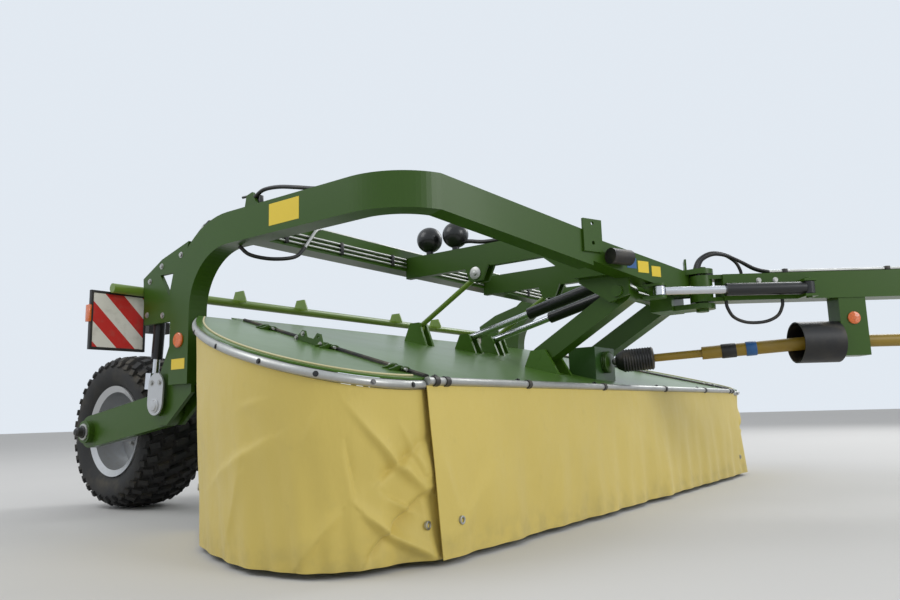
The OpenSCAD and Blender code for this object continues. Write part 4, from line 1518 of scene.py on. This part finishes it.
@dataclass
class ArchTrim:
    """Bolts, bare plates, reflectors, hoses and lines on the portal frame."""

    face: float = 1.56
    gusset_face: float = 1.55
    beam_face: float = 1.35
    hose_y: float = -1.51
    bend: tuple[float, float, float] = (1.225, 0.99, 0.449)
    gusset_bolts: tuple = ((0.60, 1.17), (0.585, 1.0), (0.70, 1.235), (0.86, 1.27), (0.72, 0.985))
    cover_bolts: tuple = ((0.672, 0.655), (0.738, 0.655))
    side_plates: tuple = ((1.614, 1.345, 0.19, 0.098), (0.875, 0.736, 0.105, 0.05))
    line_runs: tuple = ((-1.44, -0.43), (-0.37, 0.37), (0.43, 1.44))
    line_heights: tuple[float, ...] = (1.300, 1.322, 1.344)
    line_clips: tuple[float, ...] = (-1.32, -0.95, -0.55, -0.2, 0.2, 0.55, 0.95, 1.32)

    def bolts(self, side: str, sign: int) -> None:
        """Bolts the gussets and the pivot covers.

        Args:
            side: right or left.
            sign: -1 for right and 1 for left.
        """
        out = Vector((0, sign, 0))
        spots = [(at(x, sign * self.gusset_face, z), out) for x, z in self.gusset_bolts]
        spots += [(at(x, sign * (self.face + 0.006), z), out) for x, z in self.cover_bolts]
        sizes = {"Head_radius": 0.010, "Washer_radius": 0.015}
        bolt("frame_bolts_" + side, spots, Finish.ZINC, "frame", "steel", **sizes)
        cap = [(0, 0.034), (0.004, 0.034), (0.006, 0.028), (0.012, 0.024), (0.014, 0.0)]
        shape = bmesh.new()
        add_lathe(shape, cap, at(0.70, sign * (self.face + 0.0055), 0.545), out, 32)
        fit("pivot_cap_" + side, shape, Finish.SILVER, "frame")

    def plates(self, side: str, sign: int) -> None:
        """Lays the bare yellow plates and the orange reflector on the arch.

        Args:
            side: right or left.
            sign: -1 for right and 1 for left.
        """
        shape = bmesh.new()
        for x, z, wide, high in self.side_plates:
            place = upright(x, sign * (self.face + 0.0004), z)
            add_plate(shape, rectangle(wide, high), PLATE_THICKNESS, place, bevel=0)
        fit("bare_plates_" + side, shape, Finish.YELLOW_PLATE, "frame")
        dome = [(-0.002, 0.036), (0.006, 0.036), (0.01, 0.031), (0.012, 0.0)]
        shape = bmesh.new()
        add_lathe(shape, dome, at(0.875, sign * self.face, 0.85), (0, sign, 0), 32)
        fit("side_reflector_" + side, shape, Finish.ORANGE_LENS, "frame")

    def hoses(self) -> None:
        """Runs the hoses over and under the right arch, and the bent pipe up to the beam's pipes."""
        over = ((1.36, 1.47), (1.42, 1.492), (1.52, 1.485), (1.64, 1.458), (1.75, 1.43), (1.85, 1.412))
        add_hose("arch_hose", "frame", [at(x, self.hose_y, z) for x, z in over], 0.009)
        under = ((1.24, -1.50, 1.262), (1.27, -1.46, 1.222), (1.33, -1.38, 1.206), (1.375, -1.28, 1.225))
        joint = (1.378, -1.22, 1.28)
        add_hose("beam_hose", "frame", [at(*p) for p in (*under, joint)], 0.009)
        bent = (joint, (1.374, -1.18, 1.33), (1.365, -1.13, 1.385), (1.335, -1.07, 1.40), (1.31, -1.0, 1.39))
        end = at(1.31, -0.93, 0)
        end.z = sum(corner[2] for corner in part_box("beam_pipes")) / 2
        shape = bmesh.new()
        add_tube(shape, spline([*(at(*p) for p in bent), end], 6), 0.008, 14)
        fit("bent_pipe", shape, Finish.ZINC, "frame")

    def sleeve(self) -> None:
        """Lays the black sleeve and its bands round the right arch's rear bend."""
        x, z, radius = self.bend
        turns = [math.radians(164 - 5 * k) for k in range(11)]
        line = [at(x + radius * math.cos(a), self.hose_y, z + radius * math.sin(a)) for a in turns]
        shape = bmesh.new()
        add_tube(shape, line, 0.023, 18)
        fit("bend_sleeve", shape, Finish.BLACK_PLASTIC, "frame")
        band = [(-0.008, 0.0228), (-0.008, 0.026), (0.008, 0.026), (0.008, 0.0228)]
        shape = bmesh.new()
        for k in (1, 5, 9):
            tangent = Vector((-math.sin(turns[k]), 0, math.cos(turns[k])))
            add_lathe(shape, band, line[k], tangent, 24, closed=True)
        fit("sleeve_bands", shape, Finish.ZINC, "frame")

    def valve(self) -> None:
        """Lays the hose along the long arm, and sets the shut-off valve with its lever on the arch."""
        laid = ((1.705, 1.385), (1.77, 1.392), (1.88, 1.372), (2.05, 1.366), (2.2, 1.367), (2.31, 1.342))
        add_hose("arm_hose", "frame", [at(x, -0.40, z) for x, z in (*laid, (2.40, 1.306))], 0.011)
        shape = bmesh.new()
        add_block(shape, at(1.345, -1.488, 1.46), (0.07, 0.028, 0.045), 0.004)
        add_tube(shape, [at(1.345, -1.49, 1.475), at(1.30, -1.50, 1.488), at(1.26, -1.50, 1.49)], 0.006, 10)
        fit("shutoff_valve", shape, Finish.BLACK_PAINT, "frame")

    def beam_lines(self) -> None:
        """Runs three bright lines with their clips along the cross beam's front face."""
        x = self.beam_face + 0.008
        shape = bmesh.new()
        for start, end in self.line_runs:
            for z in self.line_heights:
                add_tube(shape, [at(x, start + (end - start) * k / 4, z) for k in range(5)], 0.006, 12)
        fit("beam_lines", shape, Finish.ZINC, "frame")
        shape = bmesh.new()
        for y in self.line_clips:
            add_block(shape, at(x, y, self.line_heights[1]), (0.018, 0.022, 0.064), 0.003)
        fit("beam_clips", shape, Finish.BLACK_PLASTIC, "frame")

    def link_discs(self) -> None:
        """Puts the discs of the upper links' pins on their hanging lugs."""
        disc = [(0, 0.034), (0.005, 0.034), (0.007, 0.030), (0.008, 0.014), (0.014, 0.012), (0.016, 0.0)]
        shape = bmesh.new()
        for _, sign in SIDES:
            add_lathe(shape, disc, at(1.84, sign * 0.4382, 1.2), (0, sign, 0), 32)
        fit("link_discs", shape, Finish.ZINC, "frame")

    def head_plates(self) -> None:
        """Lays the bare plates on the head's right face."""
        for name, along, z, wide, high, finish in (
            ("head_plate_blue", 1.03, 1.138, 0.06, 0.05, Finish.BLUE_BAND),
            ("head_plate_rear", 1.105, 1.125, 0.07, 0.055, Finish.YELLOW_PLATE),
            ("head_plate_front", 1.19, 1.11, 0.06, 0.05, Finish.YELLOW_PLATE),
        ):
            place = Matrix.Rotation(HEAD_TURN, 4, "Z") @ Matrix.Rotation(math.pi / 2, 4, "X")
            place.translation = on_head(along, 0.0006, z)
            shape = bmesh.new()
            add_plate(shape, rectangle(wide, high), PLATE_THICKNESS, place, bevel=0)
            fit(name, shape, finish, "frame")

    def build(self) -> None:
        """Makes the trim on both sides."""
        for side, sign in SIDES:
            self.bolts(side, sign)
            self.plates(side, sign)
        self.hoses()
        self.sleeve()
        self.valve()
        self.beam_lines()
        self.link_discs()
        self.head_plates()


@dataclass
class RearLights:
    """Frames of the warning boards, and the lamps' lenses."""

    board: tuple[float, float, float] = (0.473, 1.64, 0.97)
    edge: float = 0.28
    proud: float = 0.006
    overlap: float = 0.007

    def build(self) -> None:
        """Makes them on both sides."""
        x, board_y, z = self.board
        outer, inner = self.edge / 2 + self.proud, self.edge / 2 - self.overlap
        hole = [(-inner, -inner), (-inner, inner), (inner, inner), (inner, -inner)]
        dome = [(-0.002, 0.027), (0.006, 0.027), (0.010, 0.022), (0.012, 0.0)]
        for side, sign in SIDES:
            y = sign * board_y
            place = Matrix(((0, 0, 1), (1, 0, 0), (0, 1, 0))).to_4x4()
            place.translation = at(x, y, z)
            shape = bmesh.new()
            add_plate(shape, rectangle(2 * outer, 2 * outer), 0.022, place, [hole], bevel=0.002)
            fit("board_frame_" + side, shape, Finish.BLACK_PLASTIC, "frame")
            shape = bmesh.new()
            add_block(shape, at(x, y + sign * (outer + 0.006), z + 0.03), (0.036, 0.014, 0.085), 0.004)
            fit("marker_lamp_" + side, shape, Finish.ORANGE_LENS, "frame")
            shape = bmesh.new()
            add_lathe(shape, dome, at(0.41, sign * 1.40, 0.96), (-1, 0, 0), 28)
            fit("rear_lens_" + side, shape, Finish.RED_LENS, "frame")


@dataclass
class DrawbarFittings:
    """Hoses over and under the swing pivot, the long pipes, bolts, and the shaft's bands and bellows."""

    top: float = 1.10
    height: float = 0.13
    hose_radius: float = 0.008
    shaft_start: tuple[float, float, float] = (2.41, 0.0, 0.712)
    shaft_end: tuple[float, float, float] = (3.3169, 0.3174, 0.762)
    long_loop: tuple = (
        (-0.02, 0.0), (-0.019, 0.032), (0.004, 0.078), (0.06, 0.103), (0.125, 0.094), (0.19, 0.064), (0.26, 0.026),
        (0.327, 0.009),
    )
    short_loop: tuple = (
        (-0.02, 0.0), (-0.019, 0.04), (0.006, 0.09), (0.065, 0.122), (0.13, 0.112), (0.185, 0.075), (0.208, 0.03),
        (0.21, 0.0),
    )
    sag: tuple = (
        (0.10, 0.0), (0.103, -0.032), (0.128, -0.078), (0.178, -0.104), (0.237, -0.11), (0.296, -0.102),
        (0.345, -0.076), (0.369, -0.032), (0.372, 0.0),
    )

    def on_shaft(self, along: float) -> Vector:
        """A place on the drive shaft's axis.

        Args:
            along: distance from its rear joint.

        Returns:
            The place in the row frame.
        """
        start = Vector(self.shaft_start)
        spot = start + (Vector(self.shaft_end) - start).normalized() * along
        return at(spot.x, spot.y, spot.z)

    def hoses(self) -> None:
        """Loops the hoses from the head to the drawbar."""
        loops = ((-0.04, 1.0, self.long_loop), (-0.018, 1.12, self.long_loop), (0.016, 1.0, self.short_loop))
        for k, (y, rise, loop) in enumerate(loops):
            line = [on_bar(x, y, self.top + (z * rise if 0.0 < x < 0.3 else z)) for x, z in loop]
            add_hose(f"pivot_hose_{k + 1}", "drawbar", line, self.hose_radius)
        low = self.top - self.height
        add_hose("under_hose", "drawbar", [on_bar(x, -0.05, low + z) for x, z in self.sag], self.hose_radius)

    def pipes(self) -> None:
        """Lays the bright pipes and their ties along the drawbar's top, its bolts and its reflector."""
        shape = bmesh.new()
        for y in (-0.04, -0.018):
            add_tube(shape, [on_bar(x, y, self.top + 0.009) for x in (0.325, 1.6, 3.0)], 0.0085, 14)
        fit("drawbar_pipes", shape, Finish.ZINC, "drawbar")
        turn = Matrix.Rotation(SWING, 3, "Z")
        shape = bmesh.new()
        for x in (0.4, 0.9, 1.4, 1.9, 2.4, 2.9):
            add_block(shape, on_bar(x, -0.029, self.top + 0.011), (0.024, 0.05, 0.021), 0.003, turn)
        fit("pipe_clips", shape, Finish.BLACK_PLASTIC, "drawbar")
        right = Vector((math.sin(SWING), -math.cos(SWING), 0))
        spots = []
        for y, out in ((-0.06, right), (0.06, -right)):
            spots += [(on_bar(x, y, z), out) for x in (0.262, 0.343) for z in (1.005, 1.065)]
        bolt("drawbar_bolts", spots, Finish.ZINC, "drawbar", "steel")
        dome = [(-0.001, 0.03), (0.006, 0.03), (0.008, 0.026), (0.009, 0.0)]
        shape = bmesh.new()
        add_lathe(shape, dome, on_bar(0.705, -0.055, 0.87), right, 28)
        fit("drawbar_reflector", shape, Finish.ORANGE_LENS, "drawbar")

    def shaft(self) -> None:
        """Puts the bands on the shaft's guard, the bellows at its rear and the gearbox's ribbed cover."""
        run = self.on_shaft(1) - self.on_shaft(0)
        for name, along, wide, finish, slot in (
            ("shaft_band_black", 0.558, 0.07, Finish.BLACK_PLASTIC, "black"),
            ("shaft_band_blue", 0.664, 0.05, Finish.BLUE_BAND, "yellow"),
        ):
            band = [(0, 0.0322), (0, 0.0345), (0.003, 0.036), (wide - 0.003, 0.036), (wide, 0.0345), (wide, 0.0322)]
            shape = bmesh.new()
            add_lathe(shape, band, self.on_shaft(along - wide / 2), run, 36, closed=True)
            fit(name, shape, finish, "shaft_front")
        ribs = [(0.0, 0.026), (0.006, 0.036), (0.02, 0.046), (0.034, 0.053)]
        for k in range(11):
            foot = 0.04 + k * 0.0138
            ribs += [(foot, 0.0565), (foot + 0.005, 0.060), (foot + 0.010, 0.0565)]
        ribs += [(0.193, 0.05), (0.197, 0.022)]
        shape = bmesh.new()
        add_lathe(shape, ribs, self.on_shaft(0), run, 40)
        fit("shaft_bellows", shape, Finish.BLACK_PLASTIC, "shaft_rear", 50.0)
        ribs = [(0, 0.0)]
        for k in range(5):
            foot = 0.004 + k * 0.009
            ribs += [(foot, 0.054), (foot + 0.004, 0.058), (foot + 0.007, 0.054)]
        ribs += [(0.052, 0.042), (0.054, 0.0)]
        shape = bmesh.new()
        add_lathe(shape, ribs, at(2.33, 0, 0.712), (1, 0, 0), 40)
        fit("gearbox_cover", shape, Finish.GREEN, "header", 50.0)

    def build(self) -> None:
        """Makes all of them."""
        self.hoses()
        self.pipes()
        self.shaft()


@dataclass
class Stage:
    """Pale floor and backdrop, and soft studio lamps."""

    floor_colour: Colour = (0.62, 0.62, 0.61)
    reach: float = 60.0
    lamps: tuple = (
        ("key_lamp", (-9.0, -9.0, 7.5), 6.0, 330.0),
        ("fill_lamp", (8.0, -3.0, 5.0), 5.0, 430.0),
        ("back_lamp", (-2.0, 8.0, 8.0), 6.0, 560.0),
    )
    lit_sky: tuple = ((0.97, 0.98, 1.0), 0.6)
    seen_sky: tuple = ((0.80, 0.86, 0.93), 0.95)
    aim: tuple[float, float, float] = (2.0, 0, 0.6)

    def build(self) -> None:
        """Makes the floor, the world's soft light and three broad lamps."""
        shape = bmesh.new()
        bmesh.ops.create_grid(shape, x_segments=1, y_segments=1, size=self.reach)
        floor = bpy.data.objects.new("floor", bpy.data.meshes.new("floor"))
        shape.to_mesh(floor.data)
        shape.free()
        floor.data.transform(Matrix.Translation((0, 0, FLOOR_Z)))
        bpy.context.scene.collection.objects.link(floor)
        tree = ShaderTree("floor_surface")
        tone = tree.mix(tree.noise(0.8, 3), self.floor_colour, darker(self.floor_colour, 0.95))
        floor.data.materials.append(tree.surface(Base_Color=tone, Roughness=0.85))
        self._world()
        for name, place, size, power in self.lamps:
            self._lamp(name, Vector(place), size, power)

    def _world(self) -> None:
        """Gives the world a soft sky that lights, and a pale one that the camera and gloss see."""
        world = bpy.data.worlds.new("studio")
        world.use_nodes = True
        bpy.context.scene.world = world
        nodes, links = world.node_tree.nodes, world.node_tree.links
        nodes.clear()
        path = nodes.new("ShaderNodeLightPath")
        seen = nodes.new("ShaderNodeMath")
        seen.operation = "MAXIMUM"
        for slot, ray in enumerate(("Is Camera Ray", "Is Glossy Ray")):
            links.new(path.outputs[ray], seen.inputs[slot])
        mixed = nodes.new("ShaderNodeMixShader")
        links.new(seen.outputs[0], mixed.inputs[0])
        for slot, (colour, strength) in enumerate((self.lit_sky, self.seen_sky), start=1):
            sky = nodes.new("ShaderNodeBackground")
            sky.inputs["Color"].default_value = (*colour, 1)
            sky.inputs["Strength"].default_value = strength
            links.new(sky.outputs[0], mixed.inputs[slot])
        end = nodes.new("ShaderNodeOutputWorld")
        links.new(mixed.outputs[0], end.inputs["Surface"])

    def _lamp(self, name: str, place: Vector, size: float, power: float) -> None:
        """Adds one square lamp that faces the header.

        Args:
            name: its name.
            place: where it hangs, in the row frame.
            size: the length of its side.
            power: its watts.
        """
        data = bpy.data.lights.new(name, "AREA")
        data.shape, data.size, data.energy = "SQUARE", size, power
        lamp = bpy.data.objects.new(name, data)
        lamp.location = place
        lamp.rotation_mode = "QUATERNION"
        lamp.rotation_quaternion = (at(*self.aim) - place).to_track_quat("-Z", "Y")
        bpy.context.scene.collection.objects.link(lamp)


@dataclass
class Viewpoint:
    """The photograph's camera, low beside the header's right front corner."""

    place: Vector = field(default_factory=lambda: at(3.98, -3.62, 0.46))
    heading: float = math.radians(36.0)
    pitch: float = math.radians(8.9)
    roll: float = math.radians(1.6)
    focal_pixels: float = 735.0
    frame_width: float = 900.0

    def build(self) -> None:
        """Makes the camera and gives it to the scene."""
        right = Vector((math.cos(self.heading), math.sin(self.heading), 0))
        level = Vector((-math.sin(self.heading), math.cos(self.heading), 0))
        look = level * math.cos(self.pitch) + Vector((0, 0, 1)) * math.sin(self.pitch)
        up = Vector((0, 0, 1)) * math.cos(self.pitch) - level * math.sin(self.pitch)
        side = right * math.cos(self.roll) - up * math.sin(self.roll)
        top = right * math.sin(self.roll) + up * math.cos(self.roll)
        data = bpy.data.cameras.new("camera")
        data.sensor_width = 36.0
        data.lens = data.sensor_width * self.focal_pixels / self.frame_width
        data.clip_start, data.clip_end = 0.05, 200.0
        camera = bpy.data.objects.new("camera", data)
        turn = Matrix((side, top, -look)).transposed().to_4x4()
        camera.matrix_world = Matrix.Translation(self.place) @ turn
        bpy.context.scene.collection.objects.link(camera)
        bpy.context.scene.camera = camera


@dataclass
class PackedFrame:
    """Dresses the CAD nodes that stay in sight."""

    nodes: dict
    plain: dict = field(
        default_factory=lambda: {
            Finish.GREEN: ("arch", "front_head", "cross_beam", "drawbar", "jack_sleeve", "lower_link", "swing_arm"),
            Finish.DECK: ("header_deck", "wing"),
            Finish.SHADE_GREEN: ("header_sides", "cutter_bar", "rotor", "gearbox", "swath_board"),
            Finish.LIGHT_GREEN: ("upper_links", "light_bar"),
            Finish.SILVER: ("wheel_rim", "pivot_covers"),
            Finish.ZINC: ("edge_tube", "beam_pipes", "hitch_eye", "jack_leg"),
            Finish.CHROME: ("swing_rod", "relief_rods", "lift_rod"),
            Finish.STEEL: ("disc_", "shaft_cross"),
            Finish.BLACK_PAINT: ("swing_barrel", "relief_barrels", "lift_barrel", "accumulators"),
            Finish.BLACK_PLASTIC: ("drive_cone", "document_tube", "rear_lamps"),
            Finish.GUARD: ("shaft_front", "shaft_rear", "drive_line"),
            Finish.TYRE: ("tyre",),
            Finish.CURTAIN: ("front_curtain", "side_curtain"),
            Finish.BOARD: ("warning_boards",),
        }
    )

    def dress(self) -> None:
        """Gives every CAD node its finish."""
        for name, node in self.nodes.items():
            finish = next(f for f, starts in self.plain.items() if name.startswith(starts))
            node.data.materials.clear()
            node.data.materials.append(finish.material)


def main() -> None:
    """Builds the machine's looks in order and reports each piece."""
    logging.basicConfig(level=logging.INFO, format="%(message)s")
    bpy.context.scene.view_settings.view_transform = "Standard"
    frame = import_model()
    Viewpoint().build()
    Stage().build()
    PackedFrame(frame["nodes"]).dress()
    curtains = Curtains()
    curtains.build()
    Wheels().build()
    DeckEdges().build(curtains)
    ArchTrim().build()
    RearLights().build()
    DrawbarFittings().build()


if __name__ == "__main__":
    main()
